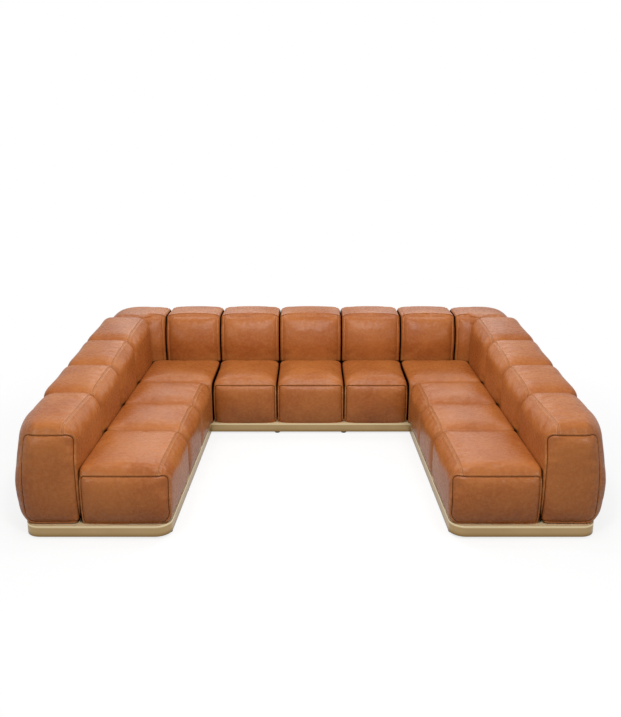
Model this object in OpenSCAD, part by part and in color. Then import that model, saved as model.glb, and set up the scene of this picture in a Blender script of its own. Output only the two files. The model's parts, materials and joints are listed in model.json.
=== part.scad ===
// U-shaped sofa: two long wings and a back run of block cushions on a brass-clad plinth.
// The origin is on the floor at the middle of the plan. +X is to the sitter's left hand
// as one looks in from the open end, +Y runs to the back and +Z is up.

/* [Blocks] */
// Width of the centre seat and of the back block behind it
centre_block_w = 506; // [440:1:580]
// Width of each seat beside the centre seat
side_block_w = 482; // [420:1:560]
// Length of the front seat and arm block of each wing
front_block_l = 645; // [560:1:760]
// Length of each of the two blocks behind the front one
wing_block_l = 507; // [440:1:620]
// Depth of the seats that face forward, up to the back blocks
seat_depth = 588; // [500:1:680]
// Width of the wing seats where they meet the back run
wing_seat_w = 553; // [480:1:640]
// How far the wing seats draw back from the middle towards the open end
wing_flare = 35; // [0:1:60]
// Width of the arm blocks
arm_w = 372; // [300:1:440]
// Depth of the back blocks
back_d = 477; // [400:1:560]
// Width of the two corner blocks
corner_block_w = 479; // [440:1:500]

/* [Heights] */
// Crest of the seats above the floor
seat_h = 438; // [390:1:470]
// Crest of the front arm block
arm_front_h = 680; // [600:1:700]
// Crest of the arms where they meet the corner
arm_rear_h = 810; // [720:1:840]
// Share by which the arms' climb runs ahead of a straight line
arm_ease = 0.35; // [0:0.05:0.6]
// Crest of the back and corner blocks
back_h = 786; // [720:1:840]

/* [Cushions] */
// Rise of a block's top from its edge to its middle
crown = 14; // [6:1:24]
// Swell of a face that stands free
belly = 6; // [2:1:10]
// Hollow of a flank that meets another block
draw_in = 4; // [1:1:6]
// Space left between two blocks that meet
seam_gap = 0.8; // [0.4:0.1:2]
// Height of the rounding along a block's top edges
edge_h = 60; // [40:1:70]
// Width of the rounding along a rounded side's top edge
edge_w = 96; // [60:1:105]
// Width of the rounding along a boxed face's top edge
boxed_edge_w = 60; // [40:1:80]
// Width of the rounding along a top edge at a seam
seam_w = 46; // [20:1:60]
// Height of the turn-under along a block's bottom edges
under_h = 72; // [40:1:90]
// Width of the turn-under on a rounded side
under_w = 52; // [20:1:60]
// Width of the turn-under on a boxed face
boxed_under_w = 12; // [6:1:24]
// Plan radius of the arm's front outer corner
arm_corner_r = 95; // [60:1:130]
// Plan radius of the wing seat's front inner corner
seat_corner_r = 32; // [20:1:60]
// Plan radius of the corner block's outer corner
back_corner_r = 250; // [180:1:300]
// Plan radius of a block's corners at a seam
block_corner_r = 14; // [8:1:20]

/* [Plinth] */
// Height of the glides, which is the gap under the plinth
glide_h = 12; // [8:1:25]
// Height of the brass skirt
skirt_h = 66; // [55:1:90]
// Thickness of the brass sheet
skirt_t = 2; // [1.5:0.5:3]
// How far the plinth stands back under the front faces
front_inset = 12; // [6:1:30]
// How far the plinth stands back under the wings' inner faces
inner_inset = 18; // [8:1:30]
// How far the plinth stands back under the outer faces
outer_inset = 50; // [30:1:70]
// Plan radius of the plinth's corners
plinth_r = 90; // [60:1:120]
// Width of the timber rails
rail_w = 40; // [30:1:50]
// Length of a wing frame's curved front end
end_rail_l = 170; // [150:1:250]
// Gap between the brass and the timber behind it
skin_gap = 0.3; // [0.2:0.1:0.5]
// Thickness of the cloth under the plinth
cloth_t = 1; // [0.8:0.1:1.5]

/* [Deck and webbing] */
// Thickness of the plywood deck
deck_t = 18; // [15:1:24]
// Length of each webbed opening along the sitter's depth
web_l = 300; // [240:1:320]
// Width of deck left at each side of a webbed opening
web_margin = 75; // [60:1:110]
// Width of a webbing strap
strap_w = 50; // [40:1:60]
// Thickness of a webbing strap
strap_t = 2; // [1.5:0.5:3]
// Straps across each webbed opening
straps = 4; // [3:1:4]
// Length of strap let into the deck at each end
strap_lap = 32; // [20:1:45]

/* [Uprights] */
// Thickness of the upright panels inside the arms and back
upright_t = 30; // [24:1:40]
// Padding over the top edge of an upright
upright_cover = 110; // [80:1:150]
// Padding in front of an arm upright
upright_front = 90; // [70:1:140]
// Clearance of an upright in the blocks that slip over it
upright_gap = 0.5; // [0.3:0.1:1]
// Width of the tenons that stand in the deck
tenon_w = 90; // [60:1:140]
// Clearance of a tenon in its mortise
tenon_gap = 0.25; // [0.2:0.05:0.5]

/* [Fixings] */
// Radius of a glide's foot
glide_r = 20; // [14:1:22]
// Rounding of a glide's lower edge
glide_edge = 3; // [1:0.5:5]
// Radius of a glide's stem
glide_stem_r = 4; // [3:0.5:6]
// Height of a glide's stem above its foot
glide_stem_h = 30; // [20:1:40]
// Radius of the deck screws
screw_r = 3; // [2.5:0.5:4]
// Radius of a deck screw's head
screw_head_r = 6; // [5:0.5:8]
// Length of the deck screws
screw_l = 45; // [30:1:50]
// Radius of the bolts that hold the units together
bolt_r = 5; // [4:0.5:6]
// Radius over the corners of a bolt's head and nut
bolt_head_r = 9.5; // [8:0.5:11]
// Height of a bolt's head and nut
bolt_head_h = 7; // [5:0.5:9]
// Radial clearance of the bolts, screws and stems in their holes
hole_gap = 0.25; // [0.15:0.05:0.4]
// Space left between two hard faces that meet
face_gap = 0.3; // [0.2:0.1:0.5]

/* [Hidden] */

leather = "#b06c3d";
brass = "#a98f62";
timber = "#c9a777";
plywood = "#d6bb8e";
strap_cloth = "#3a3733";
black_cloth = "#232323";
black_plastic = "#181818";
steel = "#9a9c9f";

// What a block's side does: meets another block, stands free and rounded, or is a boxed face.
MEETS = 0;
ROUND = 1;
BOXED = 2;

smooth = 48;
arc_steps = 3;
least_r = 4;
outline_steps = 16;

// Plan: inner faces of the wings, the line between arm and seat, and the outer faces.
inner_x = centre_block_w / 2 + side_block_w;
arm_x = inner_x + wing_seat_w;
outer_x = arm_x + arm_w;
corner_x = outer_x - corner_block_w;
depth = front_block_l + 2 * wing_block_l + seat_depth + back_d;
front_y = -depth / 2;
rear_y = depth / 2;
back_y = rear_y - back_d;
inner_y = back_y - seat_depth;
// Lines across a wing, from its front face to the back blocks.
wing_y = [
    front_y,
    front_y + front_block_l,
    front_y + front_block_l + wing_block_l,
    inner_y,
    back_y
];
// Spans of the three centre seats, and the middle of each.
centre_spans = [
    [-inner_x, -centre_block_w / 2],
    [-centre_block_w / 2, centre_block_w / 2],
    [centre_block_w / 2, inner_x]
];
centre_middles = [for (span = centre_spans) (span[0] + span[1]) / 2];

// Levels.
cloth_z = glide_h;
base_z = cloth_z + cloth_t;
skirt_top_z = glide_h + skirt_h;
deck_top_z = skirt_top_z;
deck_z = deck_top_z - deck_t;
block_z = deck_top_z + face_gap;

// Plan of the plinth.
plinth_front_y = front_y + front_inset;
plinth_rear_y = rear_y - outer_inset;
plinth_inner_y = inner_y + front_inset;
plinth_inner_x = inner_x + inner_inset;
plinth_outer_x = outer_x - outer_inset;
timber_inset = skirt_t + skin_gap;

// Centre lines of the uprights.
arm_upright_x = arm_x + arm_w / 2;
back_upright_y = back_y + back_d / 2;

// Lines of the two units' meeting faces and of the bolts through them.
meet_x = plinth_inner_x;
meet_l = plinth_rear_y - plinth_inner_y;
bolt_ys = [plinth_inner_y + meet_l * 0.3, plinth_inner_y + meet_l * 0.8];
bolt_z = (base_z + deck_z) / 2;

function mix(a, b, t) = a + (b - a) * t;
function unit(v) = v / norm(v);
function turned(v, a) = [v[0] * cos(a) - v[1] * sin(a), v[0] * sin(a) + v[1] * cos(a)];

// How far a wing's inner face stands back at one place along the wing.
function flare_at(y) = y >= inner_y ? 0 : wing_flare * (inner_y - y) / (inner_y - front_y);

// Crest of the arm at one place along the wing: level over the front block, then a climb that
// eases off towards the corner.
function arm_top(y) =
    let (t = max(y - wing_y[1], 0) / (back_y - wing_y[1]))
    mix(arm_front_h, arm_rear_h, t * (1 + arm_ease * (1 - t)));

// A cushion's plan at one level. Corners run front inner, front outer, rear outer, rear inner,
// and sides run front, outer, rear, inner. Each corner is an arc, and each side has a middle
// point that swells by its own amount. The inner side leans out by lean[0] at the front and
// lean[1] at the rear.
function plan_ring(x, y, r, inset, swell, lean) =
    let (
        lo = [x[0] + inset[3], y[0] + inset[0]],
        hi = [x[1] - inset[1], y[1] - inset[2]],
        corner = [lo, [hi[0], lo[1]], hi, [lo[0], hi[1]]],
        inward = [[1, 1], [-1, 1], [-1, -1], [1, -1]],
        outward = [[0, -1], [1, 0], [0, 1], [-1, 0]]
    )
    [for (i = [0:3], j = [0:arc_steps + 1])
        let (
            turn = max(r[i] - min(inset[i], inset[(i + 3) % 4]), least_r),
            a = 180 + 90 * i + 90 * j / arc_steps,
            p = j <= arc_steps
                ? corner[i] + inward[i] * turn + turn * [cos(a), sin(a)]
                : (corner[i] + corner[(i + 1) % 4]) / 2 + outward[i] * swell[i],
            share = (x[1] - p[0]) / (x[1] - x[0]),
            along = (p[1] - y[0]) / (y[1] - y[0])
        )
        [p[0] + share * mix(lean[0], lean[1], along), p[1]]
    ];

// A crowned block cushion. Its rings stack from the flat base over the turned-under edge, the
// swelling sides and the rounded top edges to the crown. crest holds its height at the front
// and at the rear, r its four plan radii, sides what each of its four sides does.
module cushion(x, y, crest, r, sides, lean = [0, 0]) {
    swell = [for (s = sides) s == MEETS ? -draw_in : belly];
    top_w = [for (s = sides) [seam_w, edge_w, boxed_edge_w][s]];
    under = [for (s = sides) [draw_in, under_w, boxed_under_w][s]];
    gap = [for (s = sides) s == MEETS ? seam_gap / 2 : belly];
    xs = [x[0] + gap[3], x[1] - gap[1]];
    ys = [y[0] + gap[0], y[1] - gap[2]];
    // Each level: share of the way up, offset from there, inset of the sides, share of the swell.
    levels = [
        [0, 0, under, 0],
        [0, under_h * 0.3, under * 0.3, 0.3],
        [0, under_h, [0, 0, 0, 0], 0.6],
        [0.5, 0, [0, 0, 0, 0], 1],
        [1, -edge_h, [0, 0, 0, 0], 0.7],
        [1, -edge_h * 0.3, top_w * 0.3, 0.3],
        [1, 0, top_w, 0]
    ];
    function rim_z(p) = mix(crest[0], crest[1], (p[1] - y[0]) / (y[1] - y[0])) - crown;
    rings = [for (l = levels)
        [for (p = plan_ring(xs, ys, r, l[2], swell * l[3], lean))
            [p[0], p[1], mix(block_z, rim_z(p), l[0]) + l[1]]]
    ];
    rim = rings[len(rings) - 1];
    n = len(rim);
    middle = [for (k = [0:2]) ([for (p = rim) 1] * [for (p = rim) p[k]]) / n];
    crown_ring = [for (p = rim) mix(middle, p, 0.55) + [0, 0, crown * 0.7]];
    points = [
        each [for (ring = rings) each ring],
        each crown_ring,
        [middle[0], middle[1], block_z],
        middle + [0, 0, crown]
    ];
    bands = len(rings);
    base = len(points) - 2;
    apex = len(points) - 1;
    faces = [
        for (j = [0:n - 1]) [base, j, (j + 1) % n],
        for (k = [0:bands - 1], j = [0:n - 1], half = [0, 1])
            let (a = k * n + j, b = k * n + (j + 1) % n)
            half == 0 ? [a, a + n, b + n] : [a, b + n, b],
        for (j = [0:n - 1]) [bands * n + (j + 1) % n, bands * n + j, apex]
    ];
    color(leather) polyhedron(points, faces);
}

module mirrored() {
    mirror([1, 0, 0]) children();
}

// Seats.

module wing_seat(i) {
    y = [wing_y[i], wing_y[i + 1]];
    cushion(
        [inner_x, arm_x], y, [seat_h, seat_h],
        [i == 0 ? seat_corner_r : block_corner_r, block_corner_r, block_corner_r, block_corner_r],
        [i == 0 ? BOXED : MEETS, MEETS, MEETS, i < 3 ? ROUND : MEETS],
        [flare_at(y[0]), flare_at(y[1])]
    );
}

module back_seat(x) {
    cushion(
        x, [inner_y, back_y], [seat_h, seat_h],
        [for (i = [0:3]) block_corner_r],
        [BOXED, MEETS, MEETS, MEETS]
    );
}

module seat_right_1() wing_seat(0);
module seat_right_2() wing_seat(1);
module seat_right_3() wing_seat(2);
module seat_right_4() wing_seat(3);
module seat_left_1() mirrored() wing_seat(0);
module seat_left_2() mirrored() wing_seat(1);
module seat_left_3() mirrored() wing_seat(2);
module seat_left_4() mirrored() wing_seat(3);
module seat_back_1() mirrored() back_seat([centre_block_w / 2, inner_x]);
module seat_back_2() back_seat([-centre_block_w / 2, centre_block_w / 2]);
module seat_back_3() back_seat([centre_block_w / 2, inner_x]);

// Arms, corners and back. Each block slips down over the upright inside it.

module arm_block(i) {
    y = [wing_y[i], wing_y[i + 1]];
    difference() {
        cushion(
            [arm_x, outer_x], y, [arm_top(y[0]), arm_top(y[1])],
            [block_corner_r, i == 0 ? arm_corner_r : block_corner_r, block_corner_r, block_corner_r],
            [i == 0 ? BOXED : MEETS, ROUND, MEETS, ROUND]
        );
        arm_upright_body(upright_gap);
    }
}

module corner_block() {
    difference() {
        cushion(
            [corner_x, outer_x], [back_y, rear_y], [back_h, back_h],
            [block_corner_r, block_corner_r, back_corner_r, block_corner_r],
            [MEETS, ROUND, ROUND, MEETS]
        );
        arm_upright_body(upright_gap);
        back_upright_body(0, upright_gap);
    }
}

module back_block(x) {
    difference() {
        cushion(
            x, [back_y, rear_y], [back_h, back_h],
            [for (i = [0:3]) block_corner_r],
            [BOXED, MEETS, ROUND, MEETS]
        );
        back_upright_body(-arm_upright_x, upright_gap);
    }
}

module arm_right_1() arm_block(0);
module arm_right_2() arm_block(1);
module arm_right_3() arm_block(2);
module arm_right_4() arm_block(3);
module arm_left_1() mirrored() arm_block(0);
module arm_left_2() mirrored() arm_block(1);
module arm_left_3() mirrored() arm_block(2);
module arm_left_4() mirrored() arm_block(3);
module corner_right() corner_block();
module corner_left() mirrored() corner_block();
module back_1() mirrored() back_block([inner_x, corner_x]);
module back_2() mirrored() back_block([centre_block_w / 2, inner_x]);
module back_3() back_block([-centre_block_w / 2, centre_block_w / 2]);
module back_4() back_block([centre_block_w / 2, inner_x]);
module back_5() back_block([inner_x, corner_x]);

// Uprights. grow widens the shape into the slot that it fits.

module arm_upright_body(grow) {
    y = [front_y + upright_front - grow, back_upright_y - upright_t / 2 - face_gap + 2 * grow];
    z = deck_top_z - grow;
    translate([arm_upright_x - upright_t / 2 - grow, 0, 0])
        rotate([90, 0, 90])
            linear_extrude(upright_t + 2 * grow)
                polygon([
                    [y[0], z],
                    [y[1], z],
                    [y[1], arm_top(back_y) - upright_cover + grow],
                    [wing_y[1], arm_top(wing_y[1]) - upright_cover + grow],
                    [y[0], arm_top(y[0]) - upright_cover + grow]
                ]);
}

module back_upright_body(from_x, grow) {
    end_x = arm_upright_x + upright_t / 2;
    translate([from_x - grow, back_upright_y - upright_t / 2 - grow, deck_top_z - grow])
        cube([
            end_x - from_x + 2 * grow,
            upright_t + 2 * grow,
            back_h - upright_cover - deck_top_z + 2 * grow
        ]);
}

// Tenons reach down through the deck from the upright's lower edge.
module arm_tenons(grow) {
    for (i = [0:3])
        translate([
            arm_upright_x - upright_t / 2 - grow,
            (max(wing_y[i], front_y + upright_front) + wing_y[i + 1] - tenon_w) / 2 - grow,
            deck_z
        ])
            cube([upright_t + 2 * grow, tenon_w + 2 * grow, deck_t + grow]);
}

module back_tenons(xs, grow) {
    for (x = xs)
        translate([x - tenon_w / 2 - grow, back_upright_y - upright_t / 2 - grow, deck_z])
            cube([tenon_w + 2 * grow, upright_t + 2 * grow, deck_t + grow]);
}

wing_tenon_xs = [(meet_x + corner_x) / 2, (corner_x + arm_upright_x) / 2];

module arm_upright() {
    color(plywood) {
        arm_upright_body(0);
        arm_tenons(0);
    }
}

module back_upright_wing() {
    color(plywood) {
        back_upright_body(meet_x + face_gap, 0);
        back_tenons(wing_tenon_xs, 0);
    }
}

module arm_upright_right() arm_upright();
module arm_upright_left() mirrored() arm_upright();
module back_upright_right() back_upright_wing();
module back_upright_left() mirrored() back_upright_wing();

module back_upright_centre() {
    half_l = meet_x - face_gap;
    color(plywood) {
        translate([-half_l, back_upright_y - upright_t / 2, deck_top_z])
            cube([2 * half_l, upright_t, back_h - upright_cover - deck_top_z]);
        back_tenons(centre_middles, 0);
    }
}

// Plinth outlines. d is how far the outline is drawn in from the face of the brass.

// Points of an arc of radius r that rounds the corner b between a and c.
function corner_arc(a, b, c, r) =
    let (
        u = unit(a - b),
        v = unit(c - b),
        half = acos(u * v) / 2,
        centre = b + unit(u + v) * r / sin(half),
        start = b + u * r / tan(half) - centre,
        sweep = (180 - 2 * half) * (cross(u, v) > 0 ? -1 : 1)
    )
    [for (i = [0:outline_steps]) centre + turned(start, sweep * i / outline_steps)];

function wing_outline(d) =
    let (
        fi = [plinth_inner_x + wing_flare + d, plinth_front_y + d],
        fo = [plinth_outer_x - d, plinth_front_y + d],
        ro = [plinth_outer_x - d, plinth_rear_y - d],
        ri = [plinth_inner_x + d, plinth_rear_y - d],
        bend = [plinth_inner_x + d, plinth_inner_y],
        rear_r = back_corner_r - outer_inset
    )
    [
        each corner_arc(bend, fi, fo, plinth_r - d),
        each corner_arc(fi, fo, ro, plinth_r - d),
        each corner_arc(fo, ro, ri, rear_r - d),
        ri,
        bend
    ];

// Outline of the wing's timber: inside the brass, and up to the meeting face behind the seats.
module wing_timber_plan(d) {
    polygon(wing_outline(timber_inset + d));
    if (d == 0)
        translate([meet_x + face_gap / 2, plinth_inner_y + timber_inset])
            square([rail_w, meet_l - 2 * timber_inset]);
}

module centre_timber_plan(d) {
    half_l = meet_x - face_gap / 2 - d;
    translate([-half_l, plinth_inner_y + timber_inset + d])
        square([2 * half_l, meet_l - 2 * timber_inset - 2 * d]);
}

// Skirts.

module skirt_wing() {
    color(brass)
        translate([0, 0, glide_h])
            linear_extrude(skirt_h)
                difference() {
                    polygon(wing_outline(0));
                    polygon(wing_outline(skirt_t));
                    translate([meet_x - rail_w, plinth_inner_y])
                        square([rail_w + timber_inset, meet_l - timber_inset]);
                }
}

module skirt_centre() {
    half_l = meet_x - face_gap;
    color(brass)
        translate([-half_l, 0, glide_h]) {
            translate([0, plinth_inner_y, 0]) cube([2 * half_l, skirt_t, skirt_h]);
            translate([0, plinth_rear_y - skirt_t, 0]) cube([2 * half_l, skirt_t, skirt_h]);
        }
}

module skirt_right() skirt_wing();
module skirt_left() mirrored() skirt_wing();

// Ladder frames under the decks.

glide_inset = timber_inset + rail_w / 2;
centre_rail_ys = [plinth_inner_y + glide_inset, plinth_rear_y - glide_inset];
wing_glide_points = [
    for (y = [plinth_front_y + plinth_r, wing_y[1], wing_y[2], inner_y, back_y]) each [
        [plinth_outer_x - glide_inset, y],
        [plinth_inner_x + glide_inset + flare_at(y), y]
    ],
    [(plinth_inner_x + plinth_outer_x) / 2, plinth_rear_y - glide_inset]
];
centre_glide_points = [for (x = centre_spans[1], y = centre_rail_ys) [x, y]];

wing_screw_points = [
    for (i = [0:3]) each [
        [plinth_outer_x - glide_inset, (wing_y[i] + wing_y[i + 1]) / 2],
        [
            plinth_inner_x + glide_inset + flare_at((wing_y[i] + wing_y[i + 1]) / 2),
            (wing_y[i] + wing_y[i + 1]) / 2
        ]
    ]
];
centre_screw_points = [for (x = centre_middles, y = centre_rail_ys) [x, y]];

module glide_holes(points) {
    for (p = points)
        translate([p[0], p[1], cloth_z - 1])
            cylinder(h = glide_stem_h + 2, r = glide_stem_r + hole_gap, $fn = smooth);
}

module screw_holes(points) {
    for (p = points)
        translate([p[0], p[1], deck_top_z - screw_l - 1])
            cylinder(h = screw_l + 2, r = screw_r + hole_gap, $fn = smooth);
}

module bolt_holes() {
    for (y = bolt_ys)
        translate([meet_x - 2 * rail_w, y, bolt_z])
            rotate([0, 90, 0])
                cylinder(h = 4 * rail_w, r = bolt_r + hole_gap, $fn = smooth);
}

// Rails that run round a wing, parted where the curved ends meet the straight rails.
module wing_rails() {
    difference() {
        wing_timber_plan(0);
        wing_timber_plan(rail_w);
        for (y = [front_y + end_rail_l, back_y + rail_w])
            translate([0, y]) square([outer_x, face_gap]);
    }
}

module wing_cross_rails() {
    intersection() {
        wing_timber_plan(rail_w + face_gap);
        for (y = [wing_y[1], wing_y[2], inner_y, back_y])
            translate([0, y - rail_w / 2]) square([outer_x, rail_w]);
    }
}

module base_wing() {
    color(timber)
        difference() {
            translate([0, 0, base_z])
                linear_extrude(deck_z - base_z) {
                    wing_rails();
                    wing_cross_rails();
                }
            glide_holes(wing_glide_points);
            screw_holes(wing_screw_points);
            bolt_holes();
        }
}

module base_centre() {
    half_l = meet_x - face_gap / 2;
    y = [plinth_inner_y + timber_inset, plinth_rear_y - timber_inset];
    end_x = half_l - rail_w / 2;
    color(timber)
        difference() {
            translate([0, 0, base_z])
                linear_extrude(deck_z - base_z) {
                    for (rail_y = [y[0], y[1] - rail_w])
                        translate([-half_l, rail_y]) square([2 * half_l, rail_w]);
                    for (x = [-end_x, each centre_spans[1], end_x])
                        translate([x - rail_w / 2, y[0] + rail_w + face_gap])
                            square([rail_w, y[1] - y[0] - 2 * rail_w - 2 * face_gap]);
                }
            glide_holes(centre_glide_points);
            screw_holes(centre_screw_points);
            bolt_holes();
            mirrored() bolt_holes();
        }
}

module base_right() base_wing();
module base_left() mirrored() base_wing();

// Decks, with a webbed opening under each seat.

function seat_span(i) = [inner_x + flare_at(wing_y[i]), arm_x];
wing_webs = [for (i = [0:3]) [seat_span(i), (wing_y[i] + wing_y[i + 1]) / 2]];
centre_webs = [for (span = centre_spans) [span, (inner_y + back_y) / 2]];

module web_openings(webs) {
    for (w = webs)
        translate([w[0][0] + web_margin, w[1] - web_l / 2, deck_z - 1])
            cube([w[0][1] - w[0][0] - 2 * web_margin, web_l, deck_t + 2]);
}

// The straps of a set of openings. grow widens them into the rebates that they lie in.
module strap_bodies(webs, grow) {
    pitch = web_l / straps;
    for (w = webs, k = [0:straps - 1])
        translate([
            w[0][0] + web_margin - strap_lap - grow,
            w[1] - web_l / 2 + (k + 0.5) * pitch - strap_w / 2 - grow,
            deck_top_z - strap_t - grow
        ])
            cube([
                w[0][1] - w[0][0] - 2 * web_margin + 2 * strap_lap + 2 * grow,
                strap_w + 2 * grow,
                strap_t + (grow > 0 ? 1 + grow : 0)
            ]);
}

module deck_holes(points) {
    screw_holes(points);
    for (p = points)
        translate([p[0], p[1], deck_top_z - screw_head_r - hole_gap])
            cylinder(
                h = screw_head_r + hole_gap + 0.01, r1 = screw_r + hole_gap - 0.01,
                r2 = screw_head_r + 2 * hole_gap, $fn = smooth
            );
}

module deck_wing() {
    color(plywood)
        difference() {
            translate([0, 0, deck_z + face_gap])
                linear_extrude(deck_t - face_gap) wing_timber_plan(0);
            web_openings(wing_webs);
            strap_bodies(wing_webs, hole_gap);
            deck_holes(wing_screw_points);
            arm_tenons(tenon_gap);
            back_tenons(wing_tenon_xs, tenon_gap);
        }
}

module deck_centre() {
    color(plywood)
        difference() {
            translate([0, 0, deck_z + face_gap])
                linear_extrude(deck_t - face_gap) centre_timber_plan(0);
            web_openings(centre_webs);
            strap_bodies(centre_webs, hole_gap);
            deck_holes(centre_screw_points);
            back_tenons(centre_middles, tenon_gap);
        }
}

module deck_right() deck_wing();
module deck_left() mirrored() deck_wing();

module webbing(webs) {
    color(strap_cloth) strap_bodies(webs, 0);
}

module webbing_right() webbing(wing_webs);
module webbing_left() mirrored() webbing(wing_webs);
module webbing_centre() webbing(centre_webs);

// Cloth under the plinth, with a hole round each glide's stem.

module under_cloth_wing() {
    color(black_cloth)
        difference() {
            translate([0, 0, cloth_z]) linear_extrude(cloth_t) wing_timber_plan(0);
            glide_holes(wing_glide_points);
        }
}

module under_cloth_right() under_cloth_wing();
module under_cloth_left() mirrored() under_cloth_wing();

module under_cloth_centre() {
    color(black_cloth)
        difference() {
            translate([0, 0, cloth_z]) linear_extrude(cloth_t) centre_timber_plan(0);
            glide_holes(centre_glide_points);
        }
}

// Fixings.

module glide() {
    color(black_plastic)
        rotate_extrude($fn = smooth)
            polygon([
                [0, 0],
                [glide_r - glide_edge, 0],
                [glide_r, glide_edge],
                [glide_r, glide_h - face_gap],
                [glide_stem_r, glide_h - face_gap],
                [glide_stem_r, glide_h + glide_stem_h],
                [0, glide_h + glide_stem_h]
            ]);
}

module glides(points) {
    for (p = points)
        translate([p[0], p[1], 0]) glide();
}

module glides_right() glides(wing_glide_points);
module glides_left() mirrored() glides(wing_glide_points);
module glides_centre() glides(centre_glide_points);

module deck_screw() {
    color(steel)
        rotate_extrude($fn = smooth)
            polygon([
                [0, -screw_l], [screw_r, -screw_l + screw_r], [screw_r, -screw_head_r],
                [screw_head_r, 0], [0, 0]
            ]);
}

module deck_screws(points) {
    for (p = points)
        translate([p[0], p[1], deck_top_z - hole_gap]) deck_screw();
}

module deck_screws_right() deck_screws(wing_screw_points);
module deck_screws_left() mirrored() deck_screws(wing_screw_points);
module deck_screws_centre() deck_screws(centre_screw_points);

// Bolts that draw a wing and the centre together, head in the wing and nut in the centre.
grip_x = [meet_x - face_gap / 2 - rail_w, meet_x + timber_inset + rail_w];
bolt_end_x = grip_x[0] - 2 * bolt_head_h;

module unit_bolts() {
    color(steel)
        for (y = bolt_ys)
            translate([0, y, bolt_z])
                rotate([0, 90, 0]) {
                    translate([0, 0, bolt_end_x])
                        cylinder(h = grip_x[1] + face_gap - bolt_end_x, r = bolt_r, $fn = smooth);
                    translate([0, 0, grip_x[1] + face_gap])
                        cylinder(h = bolt_head_h, r = bolt_head_r, $fn = 6);
                }
}

module unit_nuts() {
    color(steel)
        for (y = bolt_ys)
            translate([grip_x[0] - face_gap - bolt_head_h, y, bolt_z])
                rotate([0, 90, 0])
                    difference() {
                        cylinder(h = bolt_head_h, r = bolt_head_r, $fn = 6);
                        translate([0, 0, -1])
                            cylinder(h = bolt_head_h + 2, r = bolt_r + hole_gap, $fn = smooth);
                    }
}

module unit_bolts_right() unit_bolts();
module unit_bolts_left() mirrored() unit_bolts();
module unit_nuts_right() unit_nuts();
module unit_nuts_left() mirrored() unit_nuts();

seat_left_1();
seat_left_2();
seat_left_3();
seat_left_4();
seat_right_1();
seat_right_2();
seat_right_3();
seat_right_4();
seat_back_1();
seat_back_2();
seat_back_3();
arm_left_1();
arm_left_2();
arm_left_3();
arm_left_4();
arm_right_1();
arm_right_2();
arm_right_3();
arm_right_4();
corner_left();
corner_right();
back_1();
back_2();
back_3();
back_4();
back_5();
skirt_left();
skirt_centre();
skirt_right();
base_left();
base_centre();
base_right();
deck_left();
deck_centre();
deck_right();
webbing_left();
webbing_centre();
webbing_right();
arm_upright_left();
arm_upright_right();
back_upright_left();
back_upright_centre();
back_upright_right();
under_cloth_left();
under_cloth_centre();
under_cloth_right();
glides_left();
glides_centre();
glides_right();
deck_screws_left();
deck_screws_centre();
deck_screws_right();
unit_bolts_left();
unit_bolts_right();
unit_nuts_left();
unit_nuts_right();
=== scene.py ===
# %% [markdown]
# A U-shaped leather sofa, made around a fixed construction model.
# The model holds every size: the blocks, the brass plinth, the timber inside. This script dresses it.
# Each leather block is a swollen, stitched cushion, so most of the work goes into soft shapes and
# leather. What the model shows well as it is, such as the plinth and the frame, only gets a finish.

# %% Load the construction model
import json
import math

import bmesh
import bpy
import numpy as np
from mathutils import Matrix, Vector, bvhtree


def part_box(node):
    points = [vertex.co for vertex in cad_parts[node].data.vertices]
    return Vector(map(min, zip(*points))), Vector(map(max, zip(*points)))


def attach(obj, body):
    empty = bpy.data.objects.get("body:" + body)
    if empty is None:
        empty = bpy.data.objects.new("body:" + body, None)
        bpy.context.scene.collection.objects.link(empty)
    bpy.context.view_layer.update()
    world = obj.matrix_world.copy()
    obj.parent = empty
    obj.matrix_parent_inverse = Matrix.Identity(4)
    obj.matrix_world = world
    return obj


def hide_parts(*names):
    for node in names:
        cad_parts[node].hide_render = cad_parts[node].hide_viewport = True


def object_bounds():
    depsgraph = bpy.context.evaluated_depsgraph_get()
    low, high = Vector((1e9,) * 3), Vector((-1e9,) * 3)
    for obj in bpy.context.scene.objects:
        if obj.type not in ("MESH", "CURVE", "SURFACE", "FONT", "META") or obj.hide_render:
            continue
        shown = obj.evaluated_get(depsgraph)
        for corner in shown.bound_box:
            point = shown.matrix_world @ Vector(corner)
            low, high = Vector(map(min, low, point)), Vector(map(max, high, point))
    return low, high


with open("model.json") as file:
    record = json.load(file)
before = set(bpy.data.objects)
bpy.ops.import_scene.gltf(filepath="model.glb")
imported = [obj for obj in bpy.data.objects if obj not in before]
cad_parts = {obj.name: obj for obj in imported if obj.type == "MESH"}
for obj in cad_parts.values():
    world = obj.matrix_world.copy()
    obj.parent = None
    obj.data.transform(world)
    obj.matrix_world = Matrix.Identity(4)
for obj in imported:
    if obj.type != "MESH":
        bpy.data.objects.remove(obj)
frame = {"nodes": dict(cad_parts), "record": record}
cad_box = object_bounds()
record = frame["record"]
print("model box", [round(v, 3) for corner in cad_box for v in corner])

# %% [markdown]
# The camera comes first, and shows the sofa from where it was photographed.
# It could be placed by eye. Its place was worked out from the sofa's straight seams instead, because few
# places make them all fall where the picture has them. It is in front of the open end, well above eye
# height, and looks down by 15.6 degrees. The focal length is in pixels of a picture 717 high, and the
# sensor's long side is that height.

# %% Camera
PICTURE_LONG_SIDE = 717
FOCAL_PIXELS = 800
CAMERA_HEIGHT = 2.182
CAMERA_TO_FRONT = 4.046
LOOK_DOWN = math.radians(15.566)

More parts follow.
